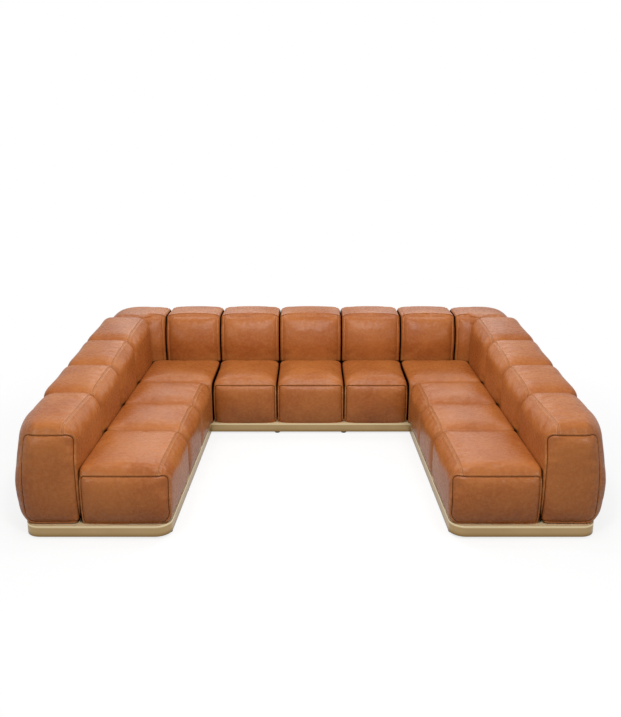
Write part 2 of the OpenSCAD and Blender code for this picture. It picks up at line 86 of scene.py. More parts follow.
front_y = cad_box[0].y
camera = bpy.data.objects.new("camera", bpy.data.cameras.new("camera"))
camera.data.sensor_width = 36
camera.data.lens = FOCAL_PIXELS * camera.data.sensor_width / PICTURE_LONG_SIDE
camera.location = (0, front_y - CAMERA_TO_FRONT, CAMERA_HEIGHT)
camera.rotation_euler = (math.pi / 2 - LOOK_DOWN, 0, 0)
bpy.context.scene.collection.objects.link(camera)
bpy.context.scene.camera = camera
print("lens", round(camera.data.lens, 2), "mm")

# %% [markdown]
# A finish is a tree of nodes. They could be joined one by one, but a sum then takes three lines, so one
# small class wraps a socket and answers to +, - and *. Every other node comes from a single helper that
# makes it, sets it up and joins its inputs.

# %% Shader helpers
class Wire:
    """An output socket. Sums on it add Math nodes to its tree."""

    def __init__(self, socket):
        self.socket = socket
        self.tree = socket.id_data

    def __add__(self, other):
        return node(self.tree, "ShaderNodeMath", {"operation": "ADD"}, {0: self, 1: other})

    def __sub__(self, other):
        return node(self.tree, "ShaderNodeMath", {"operation": "SUBTRACT"}, {0: self, 1: other})

    def __rsub__(self, other):
        return node(self.tree, "ShaderNodeMath", {"operation": "SUBTRACT"}, {0: other, 1: self})

    def __mul__(self, other):
        return node(self.tree, "ShaderNodeMath", {"operation": "MULTIPLY"}, {0: self, 1: other})

    __radd__ = __add__
    __rmul__ = __mul__


def node(tree, kind, settings, inputs, output=0):
    """Makes a node, sets its settings, then its inputs, and returns one of its outputs as a Wire."""
    made = tree.nodes.new(kind)
    for name, value in settings.items():
        setattr(made, name, value)
    for name, value in inputs.items():
        if isinstance(value, Wire):
            tree.links.new(value.socket, made.inputs[name])
        else:
            made.inputs[name].default_value = value
    return Wire(made.outputs[output])


def rising(tree, value, low, high):
    """A smooth step: 0 where value is under low, 1 where it is over high."""
    return node(
        tree, "ShaderNodeMapRange", {"interpolation_type": "SMOOTHSTEP"},
        {"Value": value, "From Min": low, "From Max": high},
    )


def mixed(tree, share, first, second):
    """A colour between two others."""
    return node(
        tree, "ShaderNodeMix", {"data_type": "RGBA"}, {0: share, 6: first, 7: second}, output=2
    )


def noise(tree, place, scale, detail=2.0, roughness=0.5):
    return node(
        tree, "ShaderNodeTexNoise", {},
        {"Vector": place, "Scale": scale, "Detail": detail, "Roughness": roughness},
    )


def stretched(tree, place, scale):
    """Coordinates with their own scale along X, Y and Z."""
    return node(tree, "ShaderNodeMapping", {}, {"Vector": place, "Scale": scale})


def new_material(name):
    """An empty material with a shader and an output. Returns it, its tree and the shader node."""
    material = bpy.data.materials.new(name)
    material.use_nodes = True
    tree = material.node_tree
    tree.nodes.clear()
    shader = tree.nodes.new("ShaderNodeBsdfPrincipled")
    output = tree.nodes.new("ShaderNodeOutputMaterial")
    tree.links.new(shader.outputs[0], output.inputs[0])
    return material, tree, shader


def feed(shader, name, wire):
    wire.tree.links.new(wire.socket, shader.inputs[name])


def mix_shaders(tree, share, first, second):
    return node(tree, "ShaderNodeMixShader", {}, {0: share, 1: first, 2: second})


def make_surface(tree, mix):
    """Makes a mix of shaders a material's surface, in place of its plain shader."""
    output = next(n for n in tree.nodes if n.type == "OUTPUT_MATERIAL")
    tree.links.new(mix.socket, output.inputs[0])


def bump(tree, height, distance, strength=1.0, under=None):
    inputs = {"Height": height, "Distance": distance, "Strength": strength}
    if under:
        inputs["Normal"] = under
    return node(tree, "ShaderNodeBump", {}, inputs)


def object_place(tree):
    return node(tree, "ShaderNodeTexCoord", {}, {}, output=3)


def colour(text):
    """A colour written as in a paint chart, turned to the linear values that shaders use."""
    parts = [int(text[i:i + 2], 16) / 255 for i in (1, 3, 5)]
    return (*[p / 12.92 if p <= 0.04045 else ((p + 0.055) / 1.055) ** 2.4 for p in parts], 1)


print("mid grey is", round(colour("#808080")[0], 3))

# %% [markdown]
# The leather is aniline dyed, so the hide's own mottling shows through. It is dark in the seams. In the gaps
# between blocks its colour is darkened as painted shade. Beside a seam it is paler, partly because it is
# pulled tight there and partly as a painted highlight on the ridge and its puckers. A picture of a hide
# would repeat from block to block, so the marks are noises of four sizes, and the grain is a pebbled skin of
# cells about
# 2 mm across. The seams are drawn from distances stored on the mesh, so that a line finer than a face stays
# crisp.
# A thin film of wax lies unevenly on the hide. A single shader with that shine would turn white wherever
# the leather is seen from a low angle, so a matt shader and a waxed one are mixed by the film's share.

# %% Leather
LEATHER_DARK = colour("#86491f")
LEATHER_DEEP = colour("#9f5828")
LEATHER_MAIN = colour("#b06933")
LEATHER_PALE = colour("#c28149")
SEAM_DARK = colour("#1f0d06")
# The painted shade in the gaps between blocks.
GAP_SHADE_BLACK = colour("#140805")
# How many marks, or cells of the grain, there are to a metre.
CLOUDS, FLECKS, SPOTS, FINE_SPOTS, GRAIN_CELLS = 3.2, 46, 95, 190, 420
# The most that each kind of mark changes the colour.
FLECKS_SHOW, SPOTS_SHOW, FINE_SPOTS_SHOW, PUCKERS_PALE_AND_HIGHLIT = 0.28, 0.32, 0.38, 0.42
# How deep each form of the surface is, in metres.
CREASE_DEPTH, PUCKER_DEPTH, SKIN_DEPTH, LINE_DEPTH = 0.004, 0.0016, 0.0006, 0.0018
CREASES = (5, 16, 12)
WAX_SHARE = 0.48
SEAM_HALF_WIDTH = 0.0019
ROW_HALF_WIDTH = 0.0013
ROW_AWAY = 0.004
ROWS_SHOW = 0.4
# The bands beside a panel's seam and along a sewn edge, where the leather is drawn tight. Their paler colour
# is partly the stretched leather and partly a painted highlight on the ridge and its puckers.
TIGHT_FROM_SEAM, TIGHT_AT_SEAM, TIGHT_AT_EDGE = 0.009, 0.014, 0.018
PUCKERS_ALONG, PUCKERS_ACROSS = 150, 30


def attribute(tree, name):
    return node(tree, "ShaderNodeAttribute", {"attribute_name": name}, {}, output=2)


def size_of(tree, value):
    return node(tree, "ShaderNodeMath", {"operation": "ABSOLUTE"}, {0: value})


def line_at(tree, away, half_width):
    """1 where away is nearly 0, and 0 past the half width."""
    return 1 - rising(tree, away, half_width * 0.4, half_width)


def dyed_and_highlit(tree, place, seam, middle, rows, tight_and_highlit, puckers, marks):
    """The hide's colour, from its widest clouds to the dark of the seams, with a painted highlight beside
    them.
    """
    flecks, spots, fine = marks
    clouds = noise(tree, place, CLOUDS, 3, 0.55)
    base = mixed(tree, rising(tree, clouds, 0.3, 0.7), LEATHER_DEEP, LEATHER_MAIN)
    base = mixed(tree, rising(tree, flecks, 0.42, 0.72) * FLECKS_SHOW, base, LEATHER_PALE)
    base = mixed(tree, rising(tree, spots, 0.45, 0.7) * SPOTS_SHOW, base, LEATHER_DEEP)
    base = mixed(tree, rising(tree, fine, 0.45, 0.75) * FINE_SPOTS_SHOW, base, LEATHER_DARK)
    # Painted highlight, partly the real paling of stretched leather: the puckered bands beside the seams go
    # pale.
    base = mixed(tree, tight_and_highlit * rising(tree, puckers, 0.35, 0.7) * PUCKERS_PALE_AND_HIGHLIT, base, LEATHER_PALE)
    return mixed(tree, seam * 0.9 + middle * 0.1 + rows * ROWS_SHOW, base, SEAM_DARK)


def grained(tree, place, seam, rows, tight_and_highlit, puckers, marks):
    """The hide's surface: soft creases, then puckers, then its skin, and the seam lines last."""
    spots, fine = marks[1:]
    creases = noise(tree, stretched(tree, place, CREASES), 2.2, 3, 0.55)
    cells = node(
        tree, "ShaderNodeTexVoronoi", {"feature": "F1"},
        {"Vector": place, "Scale": GRAIN_CELLS, "Randomness": 0.9},
    )
    soft = bump(tree, creases, CREASE_DEPTH, 0.6)
    gathered = bump(tree, puckers * tight_and_highlit, PUCKER_DEPTH, 0.6, soft)
    skin = bump(tree, cells * -1.0 + fine * 0.9 + spots * 0.5, SKIN_DEPTH, 0.5, gathered)
    return bump(tree, 1 - seam - rows * ROWS_SHOW, LINE_DEPTH, 0.8, skin)


def make_leather():
    material, tree, matt = new_material("leather")
    place = object_place(tree)
    names = ("panel", "panel_here", "edge", "edge_here", "run", "gap_shade")
    panel, panel_here, edge, edge_here, run, gap_shade = [attribute(tree, name) for name in names]
    seam = line_at(tree, size_of(tree, panel), SEAM_HALF_WIDTH) * panel_here
    middle = line_at(tree, size_of(tree, edge), SEAM_HALF_WIDTH) * edge_here
    rows = line_at(tree, size_of(tree, size_of(tree, edge) - ROW_AWAY), ROW_HALF_WIDTH) * edge_here
    ridge = line_at(tree, size_of(tree, panel - TIGHT_FROM_SEAM), TIGHT_AT_SEAM) * panel_here
    tight_and_highlit = ridge + line_at(tree, size_of(tree, edge), TIGHT_AT_EDGE) * edge_here
    along = node(
        tree, "ShaderNodeCombineXYZ", {},
        {"X": run * PUCKERS_ALONG, "Y": panel * PUCKERS_ACROSS, "Z": edge * PUCKERS_ACROSS},
    )
    puckers = noise(tree, along, 1, 2, 0.6)
    flecks = noise(tree, place, FLECKS, 4, 0.65)
    spots = noise(tree, place, SPOTS, 3, 0.6)
    fine = noise(tree, place, FINE_SPOTS, 3, 0.6)
    marks = (flecks, spots, fine)
    # Painted shade: where the leather lies in a gap between blocks, its colour is mixed towards black.
    base = mixed(tree, gap_shade, dyed_and_highlit(tree, place, seam, middle, rows, tight_and_highlit, puckers, marks), GAP_SHADE_BLACK)
    normal = grained(tree, place, seam, rows, tight_and_highlit, puckers, marks)
    waxed = tree.nodes.new("ShaderNodeBsdfPrincipled")
    for shader in (matt, waxed):
        feed(shader, "Base Color", base)
        feed(shader, "Normal", normal)
    feed(matt, "Roughness", 0.6 + flecks * 0.1)
    matt.inputs["Specular IOR Level"].default_value = 0
    feed(waxed, "Roughness", 0.2 + flecks * 0.08 + fine * 0.08)
    film = (WAX_SHARE + flecks * 0.3 - fine * 0.3) * (1 - seam) * (1 - gap_shade)
    make_surface(tree, mix_shaders(tree, film, Wire(matt.outputs[0]), Wire(waxed.outputs[0])))
    return material


leather = make_leather()
print("leather is a tree of", len(leather.node_tree.nodes), "nodes")

# %% [markdown]
# The plinth is clad in brass sheet, brushed along its length. Near the floor its colour is darkened as
# painted shade, and a painted highlight runs along its upper edge. That bright line could come from a
# rounded edge, but one of a few millimetres is finer than a pixel here, so it is painted on by height.
# Brushing is a bump whose grain is hundreds of times finer up the sheet than along it.

# %% Brass
skirt_low, skirt_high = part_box("skirt_left")
# Painted shade at the foot of the sheet, and a painted highlight along its upper edge, both by height.
BRASS_SHADED_FOOT = (skirt_low.z - 0.004, skirt_low.z + 0.030)
BRASS_HIGHLIGHT_BAND = (skirt_high.z - 0.016, skirt_high.z - 0.006)
HIGHLIGHT_SHOWS = 0.75
BRUSHING = (6, 6, 2600)


def make_brass():
    material, tree, shader = new_material("brass")
    place = object_place(tree)
    strokes = noise(tree, stretched(tree, place, BRUSHING), 1, 3, 0.6)
    clouds = noise(tree, place, 5, 3)
    up = node(tree, "ShaderNodeSeparateXYZ", {}, {"Vector": place}, output=2)
    base = mixed(tree, clouds, colour("#9b815a"), colour("#ab926b"))
    # Painted shade: the brass is darker towards the floor.
    base = mixed(tree, 1 - rising(tree, up, *BRASS_SHADED_FOOT), base, colour("#7d643c"))
    # Painted highlight: a bright band along the upper edge.
    base = mixed(tree, rising(tree, up, *BRASS_HIGHLIGHT_BAND) * HIGHLIGHT_SHOWS, base, colour("#e3d3ab"))
    feed(shader, "Base Color", base)
    feed(shader, "Roughness", 0.3 + strokes * 0.16)
    feed(shader, "Normal", bump(tree, strokes, 0.0003, 0.35))
    shader.inputs["Metallic"].default_value = 1
    return material


brass = make_brass()
print("brass is brightest above", round(BRASS_HIGHLIGHT_BAND[1], 3))

# %% [markdown]
# Under the leather there is a plain workshop build: planed softwood rails, birch plywood with its
# glue lines on the cut edges, woven webbing, black cloth, moulded glides and zinc-plated fixings. Pictures
# of each could be wrapped round the parts, but little of it ever shows. So each finish is one to three
# noises or waves that feed the colour, the roughness and mostly a bump.

# %% Timber, plywood, webbing, cloth, plastic and steel
def make_timber():
    material, tree, shader = new_material("timber")
    place = object_place(tree)
    figure = noise(tree, stretched(tree, place, (3, 3, 30)), 9, 5, 0.6)
    pores = noise(tree, stretched(tree, place, (20, 20, 300)), 6, 2)
    base = mixed(tree, rising(tree, figure, 0.35, 0.65), colour("#b58c58"), colour("#dcbf90"))
    feed(shader, "Base Color", base)
    feed(shader, "Roughness", 0.55 + figure * 0.2)
    feed(shader, "Normal", bump(tree, pores, 0.0004, 0.4))
    return material


def make_plywood():
    material, tree, shader = new_material("plywood")
    place = object_place(tree)
    across = noise(tree, stretched(tree, place, (2.5, 30, 2.5)), 5, 5, 0.6)
    plies = node(
        tree, "ShaderNodeTexWave", {"wave_type": "BANDS", "bands_direction": "Z"},
        {"Vector": place, "Scale": 110, "Distortion": 0.4},
        output=1,
    )
    face = mixed(tree, rising(tree, across, 0.3, 0.7), colour("#cdb083"), colour("#e3cda3"))
    base = mixed(tree, rising(tree, plies, 0.75, 0.95) * 0.35, face, colour("#8d6b42"))
    feed(shader, "Base Color", base)
    feed(shader, "Roughness", 0.5 + across * 0.2)
    feed(shader, "Normal", bump(tree, across, 0.0005, 0.3))
    return material


def make_weave(name, dark, pale, threads, rough):
    """Cloth of threads that pass over and under each other."""
    material, tree, shader = new_material(name)
    place = object_place(tree)
    waves = {"Vector": place, "Scale": threads}
    warp, weft = [
        node(tree, "ShaderNodeTexWave", {"bands_direction": way}, waves, output=1) for way in "XY"
    ]
    woven = warp * weft
    fuzz = noise(tree, place, threads * 4, 2)
    feed(shader, "Base Color", mixed(tree, woven * 0.7 + fuzz * 0.3, dark, pale))
    feed(shader, "Roughness", rough + fuzz * 0.1)
    feed(shader, "Normal", bump(tree, woven, 0.0005, 0.6))
    return material


def make_plastic():
    material, tree, shader = new_material("glide_plastic")
    speckle = noise(tree, object_place(tree), 700, 2)
    feed(shader, "Base Color", mixed(tree, speckle, colour("#101010"), colour("#1d1d1d")))
    feed(shader, "Roughness", 0.45 + speckle * 0.15)
    feed(shader, "Normal", bump(tree, speckle, 0.0002, 0.3))
    return material


def make_steel():
    material, tree, shader = new_material("zinc_steel")
    spangle = noise(tree, object_place(tree), 260, 3)
    feed(shader, "Base Color", mixed(tree, spangle, colour("#8f9296"), colour("#c2c4c6")))
    feed(shader, "Roughness", 0.28 + spangle * 0.2)
    shader.inputs["Metallic"].default_value = 1
    return material


timber = make_timber()
plywood = make_plywood()
webbing = make_weave("webbing", colour("#1f1d1b"), colour("#57524b"), 260, 0.8)
black_cloth = make_weave("black_cloth", colour("#0c0c0c"), colour("#2e2e2e"), 420, 0.85)
glide_plastic = make_plastic()
steel = make_steel()

FINISH = {
    "leather": leather, "brass": brass, "timber": timber, "plywood": plywood,
    "webbing": webbing, "dust_cloth": black_cloth, "glide_plastic": glide_plastic, "steel": steel,
}
for part in record["subparts"]:
    mesh = frame["nodes"][part["node"]].data
    mesh.materials.clear()
    mesh.materials.append(FINISH[part["material_slot"]])
print(len(record["subparts"]), "nodes have their finish")

# %% [markdown]
# A block of upholstery could be bevelled from a cube or sculpted. Cloth wants faces of one size, though,
# so a block begins as a box of even cells whose points are then moved. Three things describe it: where it
# stands, what each of its four sides does, and how round its corners are in plan. A side that meets a
# neighbour is drawn in, and its top edge sinks in a long shoulder. A side that is tucked against a taller
# block sinks less. A rolled side, where legs hang over or an arm rests, has a wide radius. The outer side
# is round above and turns under at the plinth. A boxed side has a panel sewn into it.

# %% A box of even cells
MEETS, TUCKED, ROLLED, OUTER, BOXED = "meets", "tucked", "rolled", "outer", "boxed"
CELL = 0.0155


def as_object(name, bm):
    mesh = bpy.data.meshes.new(name)
    bm.to_mesh(mesh)
    bm.free()
    obj = bpy.data.objects.new(name, mesh)
    bpy.context.scene.collection.objects.link(obj)
    return obj


def gridded_box(name, low, high):
    """A closed box whose faces are cut into cells of one size, fine enough for cloth."""
    bm = bmesh.new()
    place = Matrix.Translation((low + high) / 2) @ Matrix.Diagonal((*(high - low), 1))
    bmesh.ops.create_cube(bm, size=1, matrix=place)
    for axis in range(3):
        ends = [(e, e.verts[1].co - e.verts[0].co) for e in bm.edges]
        along = [e for e, way in ends if abs(way[axis]) > 0.9 * way.length]
        cuts = round((high - low)[axis] / CELL) - 1
        bmesh.ops.subdivide_edges(bm, edges=along, cuts=cuts, use_grid_fill=True)
    return as_object(name, bm)


def freeze(obj):
    """Replaces an object's mesh by what its modifiers make of it."""
    seen = obj.evaluated_get(bpy.context.evaluated_depsgraph_get())
    mesh = bpy.data.meshes.new_from_object(seen)
    obj.modifiers.clear()
    obj.data = mesh


def points_of(mesh):
    flat = np.empty(len(mesh.vertices) * 3, np.float32)
    mesh.vertices.foreach_get("co", flat)
    return flat.reshape(-1, 3).astype(float)


def set_points(mesh, points):
    mesh.vertices.foreach_set("co", points.astype(np.float32).ravel())
    mesh.update()


def smooth_step(value, low, high):
    t = np.clip((value - low) / (high - low), 0, 1)
    return t * t * (3 - 2 * t)


def easing(distance, reach):
    """1 at no distance, falling to 0 at the reach, steepest at the start."""
    return (1 - np.clip(distance / reach, 0, 1)) ** 3


print("cells of", 1000 * CELL, "mm")

# %% [markdown]
# Sewn covers have no sharp edge anywhere. A bevel would spoil the even cells, so the rounding is one move
# of the box's points. In each corner of the box a point has three numbers that run from 0, where the round
# begins, to 1 on the flat side. Scaling them so that a cube's surface lands on a ball's turns every sharp
# edge into a round one, with its own radius for each side of the block. The radii change gently up the
# block, so that two edges of different radius blend where they meet. A wide corner is rounded in plan
# first, and its top edge is rolled along that curve.

# %% Round the edges
TOP_EDGE = {TUCKED: 0.030, ROLLED: 0.098, BOXED: 0.046}
BOTTOM_EDGE = {MEETS: 0.006, TUCKED: 0.006, ROLLED: 0.050, OUTER: 0.072, BOXED: 0.012}
WIDE_CORNER = 0.06
# Between two backs a top edge has only this share of its radius from so far behind the front.
BACK_TIGHTER, BACK_TIGHT_FROM = 0.62, 0.2
# An upright corner takes its edges' radius at their height, and its own from this many radii below.
BLEND_BELOW = 2.4
FRONT, OUT, REAR, IN = range(4)
# The way that each side faces, in that order.
FACING = [(0, -1), (1, 0), (0, 1), (-1, 0)]


def gaps_to_sides(points, block):
    """Distance from each point to the front, outer, rear and inner side of its box."""
    low, high = block.low, block.high
    return [points[:, 1] - low[1], high[0] - points[:, 0], high[1] - points[:, 1], points[:, 0] - low[0]]


def round_off(points, block):
    """Rounds every edge of a straight block, each by the radius of the side that it belongs to."""
    middle, half = (block.low + block.high) / 2, (block.high - block.low) / 2
    way = np.where(points < middle, -1.0, 1.0)
    gap = half - np.abs(points - middle)
    outer, rear, top = (way > 0).T
    corner = np.where(rear, np.where(outer, 2, 3), np.where(outer, 1, 0))
    upright = np.array(block.corners)[corner]
    edges = np.array([
        [block.top_edge(kind) for kind in block.sides],
        [BOTTOM_EDGE[kind] for kind in block.sides],
    ])
    level = np.where(top, 0, 1)
    edge_x = edges[level, np.where(outer, OUT, IN)]
    edge_y = edges[level, np.where(rear, REAR, FRONT)]
    if block.is_back:
        behind = easing(points[:, 1] - block.low[1], BACK_TIGHT_FROM)
        between = np.where(outer, block.sides[OUT] == MEETS, block.sides[IN] == MEETS)
        tighter = edge_x * (BACK_TIGHTER + (1 - BACK_TIGHTER) * behind)
        edge_x = np.where(top & between, tighter, edge_x)
    tight = round_corner(gap, upright, edge_x, edge_y)
    wide = round_plan(gap, upright, edge_x, edge_y)
    gap = np.where((upright > WIDE_CORNER)[:, None], wide, tight)
    return middle + way * (half - gap)


def round_corner(gap, upright, edge_x, edge_y):
    """Rounds all three edges of a tight corner at once, as an eighth of a ball."""
    wide = np.maximum(edge_x, edge_y)
    near = 1 - smooth_step(gap[:, 2], wide, BLEND_BELOW * wide)
    reach_x = np.maximum(upright, edge_x * near + upright * (1 - near))
    reach_y = np.maximum(upright, edge_y * near + upright * (1 - near))
    qx = np.clip(1 - gap[:, 0] / reach_x, 0, 1)
    qy = np.clip(1 - gap[:, 1] / reach_y, 0, 1)
    share = qx ** 2 / np.maximum(qx ** 2 + qy ** 2, 1e-9)
    reach_z = edge_x * share + edge_y * (1 - share)
    qz = np.clip(1 - gap[:, 2] / reach_z, 0, 1)
    q = np.stack([qx, qy, qz], 1)
    reach = np.stack([reach_x, reach_y, reach_z], 1)
    pull = q.max(1) / np.maximum(np.linalg.norm(q, axis=1), 1e-9)
    return np.where(q > 0, reach * (1 - q * pull[:, None]), gap)


def round_plan(gap, upright, edge_x, edge_y):
    """Rounds a wide corner in plan first, and then rolls its top and bottom edges along that curve."""
    past = np.maximum(upright[:, None] - gap[:, :2], 0)
    far = np.maximum(np.linalg.norm(past, axis=1), 1e-9)
    past = past * (past.max(1) / far)[:, None]
    far = np.linalg.norm(past, axis=1)
    flat = np.where(past > 0, upright[:, None] - past, gap[:, :2])
    inward = np.where(far > 0, upright - far, flat.min(1))
    share = past / np.maximum(far, 1e-9)[:, None]
    nearest = np.stack([flat[:, 0] < flat[:, 1], flat[:, 0] >= flat[:, 1]], 1)
    share = np.where((far > 0)[:, None], share, nearest)
    reach = edge_x * share[:, 0] ** 2 + edge_y * share[:, 1] ** 2
    a, b = np.clip(1 - inward / reach, 0, 1), np.clip(1 - gap[:, 2] / reach, 0, 1)
    pull = np.maximum(a, b) / np.maximum(np.hypot(a, b), 1e-9)
    both = (a > 0) & (b > 0)
    moved = np.where(both, reach * (1 - a * pull) - inward, 0)
    height = np.where(both, reach * (1 - b * pull), gap[:, 2])
    return np.column_stack([flat + share * moved[:, None], height])


print("a rolled top edge has a radius of", round(1000 * TOP_EDGE[ROLLED]), "mm")

# %% [markdown]
# The rounded block is then swollen like a stuffed one. Pressure alone would blow every block up alike, so
# the forms that a maker pads on purpose are moved by rule. The top comes first: it is crowned in its middle,
# and its shoulders sink towards the seams, but less so near a taller block, where they would leave a pit.

# %% Sink the top
SHOULDER = {TUCKED: 0.009, ROLLED: 0.006, OUTER: 0.002, BOXED: 0.008}
SHOULDER_REACH = 0.14
# Beside a taller block a shoulder is only this share of its depth, and has all of it so far away.
SHOULDER_LEFT, SHOULDER_FULL_AT = 0.2, 0.13
CROWN_FROM = -0.4


def sink_top(block, gaps, u, v, w):
    """How far the top goes down: it falls away from its crown, and its shoulders sink at the seams."""
    upper = smooth_step(w, CROWN_FROM, 1)
    sunk = block.crown * (1 - (1 - u ** 2) * (1 - v ** 2)) * upper
    tucked = [gap for kind, gap in zip(block.sides, gaps) if kind == TUCKED]
    open_air = 1
    if tucked:
        away = smooth_step(np.min(tucked, axis=0), 0, SHOULDER_FULL_AT)
        open_air = SHOULDER_LEFT + (1 - SHOULDER_LEFT) * away
    for kind, gap in zip(block.sides, gaps):
        depth = block.meeting_shoulder * open_air if kind == MEETS else SHOULDER[kind]
        sunk = sunk + depth * easing(gap, SHOULDER_REACH) * upper
    return sunk


print("shoulders sink over", round(1000 * SHOULDER_REACH), "mm")

# %% [markdown]
# A free side bellies out a little and turns under at the plinth. The sides towards the room lean back as
# they rise, and the front of a back leans furthest, because people rest on it. A side could be one curve
# turned round the block, but its neighbours pull it in at its ends, so each effect is added by itself.

# %% Push the sides
SIDE_SHOULDER = {MEETS: 0, TUCKED: 0, ROLLED: 0.014, OUTER: 0.010, BOXED: 0.005}
SIDE_REACH = 0.085
BELLY = {MEETS: 0, TUCKED: 0, ROLLED: 0.003, OUTER: 0.001, BOXED: 0.003}
DRAWN_IN = {MEETS: 0.0026, TUCKED: 0.004, ROLLED: 0, OUTER: 0, BOXED: 0.004}
TURN_UNDER = {MEETS: 0, TUCKED: 0, ROLLED: 0.006, OUTER: 0.020, BOXED: 0.020}
LEAN_BACK = {MEETS: 0, TUCKED: 0, ROLLED: 0.006, OUTER: 0, BOXED: 0.009}
WIDEST_AT = 0.42
BACK_WIDEST_AT, BACK_LEAN = 0.57, 0.056
# Behind the seat a back's front is tucked in, fully below the first of these heights.
BACK_TUCK, TUCK_FULL, TUCK_NONE = 0.016, 0.50, 0.72
# Two backs touch behind their fronts: there they are drawn in by a tenth only.
BACK_FILLS, BACK_FILLS_FROM, BACK_FILLS_AT = 0.9, 0.08, 0.16
FRONT_DOME = 0.010
SIDE_NEAR, SIDE_FAR = 0.02, 0.12
ARM_BLEND = (-0.005, 0.060)


def standing_free(points, block):
    """1 where a corner block's front stands free, 0 where the last arm block covers it."""
    if block.arm_from is None:
        return np.ones(len(points))
    return 1 - smooth_step(points[:, 0], block.arm_from + ARM_BLEND[0], block.arm_from + ARM_BLEND[1])


def push_side(side, block, gaps, along, height, free):
    """How far a side moves out: its belly, less what its turn, its lean and its shoulders take away."""
    kind, leans = block.sides[side], block.leans(side)
    shift = BELLY[kind] * (1 - along ** 2) - DRAWN_IN[kind]
    if kind == MEETS and block.is_back:
        behind = smooth_step(gaps[FRONT], BACK_FILLS_FROM, BACK_FILLS_AT)
        shift += BACK_FILLS * DRAWN_IN[kind] * behind
    if kind == BOXED:
        shift -= (block.dome - FRONT_DOME) * free
    widest = BACK_WIDEST_AT if leans else WIDEST_AT
    turn = TURN_UNDER[kind] * (free if leans else 1)
    lean = BACK_LEAN * free if leans else LEAN_BACK[kind]
    shift -= turn * np.clip((widest - height) / widest, 0, 1) ** 2
    shift -= lean * np.clip((height - widest) / (1 - widest), 0, 1) ** 2
    if leans:
        shift -= BACK_TUCK * free * (1 - smooth_step(height, TUCK_FULL, TUCK_NONE))
    for beside in (side - 1, (side + 1) % 4):
        if block.sides[beside] in (MEETS, TUCKED):
            shift -= SIDE_SHOULDER[kind] * easing(gaps[beside], SIDE_REACH)
    return shift * (1 - smooth_step(gaps[side], SIDE_NEAR, SIDE_FAR))


print("the fronts of the backs lean by up to", round(1000 * BACK_LEAN), "mm")

# %% [markdown]
# All the moves are measured on the rounded block and added at once, so that their order doesn't matter.
# The first arm of a wing also narrows to its top, like a nose. It could be a block of another shape, but the
# second arm has to meet it, so the narrowing dies out before the seam between them.

# %% Swell the block
NARROWER = 0.016
NOSE_FROM, NOSE_CURVE, NOSE_REACH = 0.38, 1.4, 0.54


def swell(points, block):
    u, v, w = (2 * (points - (block.low + block.high) / 2) / (block.high - block.low)).T
    gaps = gaps_to_sides(points, block)
    height = (w + 1) / 2
    free = standing_free(points, block)
    out = points.copy()
    out[:, 2] -= sink_top(block, gaps, u, v, w)
    for side, (fx, fy) in enumerate(FACING):
        shift = push_side(side, block, gaps, v if fx else u, height, free)
        out[:, 0] += fx * shift
        out[:, 1] += fy * shift
    if block.nose:
        taper = np.clip((height - NOSE_FROM) / (1 - NOSE_FROM), 0, 1) ** NOSE_CURVE
        narrower = (NARROWER + block.nose * taper) * easing(gaps[FRONT], NOSE_REACH)
        out[:, 0] -= narrower * (u + 1) / 2
    return out


print("a nose is narrower than its block by", round(1000 * NARROWER), "mm at its foot")

# %% [markdown]
# The blocks' places come from the construction model's boxes, so nothing here is measured twice.
# The arms climb to the back: a block's front is as high as the block before it, and its rear is its own
# height. The wings' seats lean out a little towards the open end, in the same way. Both could be turned
# objects, but a shear of the points keeps the gaps between the blocks straight and even.

# %% What a block is
BOW_OF_NOSE = 0.25
# What most blocks have: a top edge's radius and shoulder at a neighbour, and a panel's height and slope.
MEETING, DOME = (0.028, 0.018), (0.021, 0.042)
OUTER_EDGE, CROWN = 0.090, 0.011


class Block:
    """One leather block: its node, its straight box, and what its sides, corners and top do."""

    def __init__(self, node_name, sides, corners, top=None, lean=(0, 0), meeting=MEETING, nose=0,
                 dome=DOME, outer_edge=OUTER_EDGE, crown=CROWN, arm_from=None):
        low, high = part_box(node_name)
        self.node = node_name
        self.low, self.high = np.array(low), np.array(high)
        self.sides, self.corners = sides, corners
        self.is_back = sides[REAR] == OUTER
        self.top = top or (high.z, high.z)
        self.lean, self.nose, self.bow = lean, nose, BOW_OF_NOSE * nose
        self.dome, self.dome_width = dome
        self.meeting_edge, self.meeting_shoulder = meeting
        self.outer_edge, self.crown, self.arm_from = outer_edge, crown, arm_from

    def top_edge(self, kind):
        return {MEETS: self.meeting_edge, OUTER: self.outer_edge}.get(kind) or TOP_EDGE[kind]

    def leans(self, side):
        """Whether people lean on this side: the front of a back block or a corner block."""
        return self.is_back and side == FRONT

    def at(self, y):
        """Height of the top and lean of the inner side at a distance along the block."""
        along = (y - self.low[1]) / (self.high[1] - self.low[1])
        return (
            self.top[0] + (self.top[1] - self.top[0]) * along,
            self.lean[0] + (self.lean[1] - self.lean[0]) * along,
        )

    def shaped(self, points):
        """Gives points of the straight block the climb of its top and the lean of its inner side."""
        out = points.copy()
        height, lean = self.at(points[:, 1])
        shares = (points - self.low) / (self.high - self.low)
        out[:, 2] += shares[:, 2] * (height - self.high[2])
        out[:, 0] += (1 - shares[:, 0]) * lean
        return out


print("most blocks' tops are crowned by", round(1000 * CROWN, 1), "mm")

# %% [markdown]
# Each wing is four seats with four arms beside them, then a corner block, and five backs and three more
# seats close the middle. Every block could be listed by hand, but a loop along the wing keeps its seams in
# line. Only the right half is made, with the two blocks in the middle.

# %% Where each block stands
PLAN_CORNER, ARM_CORNER, SEAT_CORNER, REAR_CORNER = 0.016, 0.078, 0.034, 0.235
TIGHT = (PLAN_CORNER,) * 4
ARM_CROWN, ARM_EDGE = 0.006, 0.058
ARM_NOSE, FIRST_ARM_EDGE = 0.112, 0.105
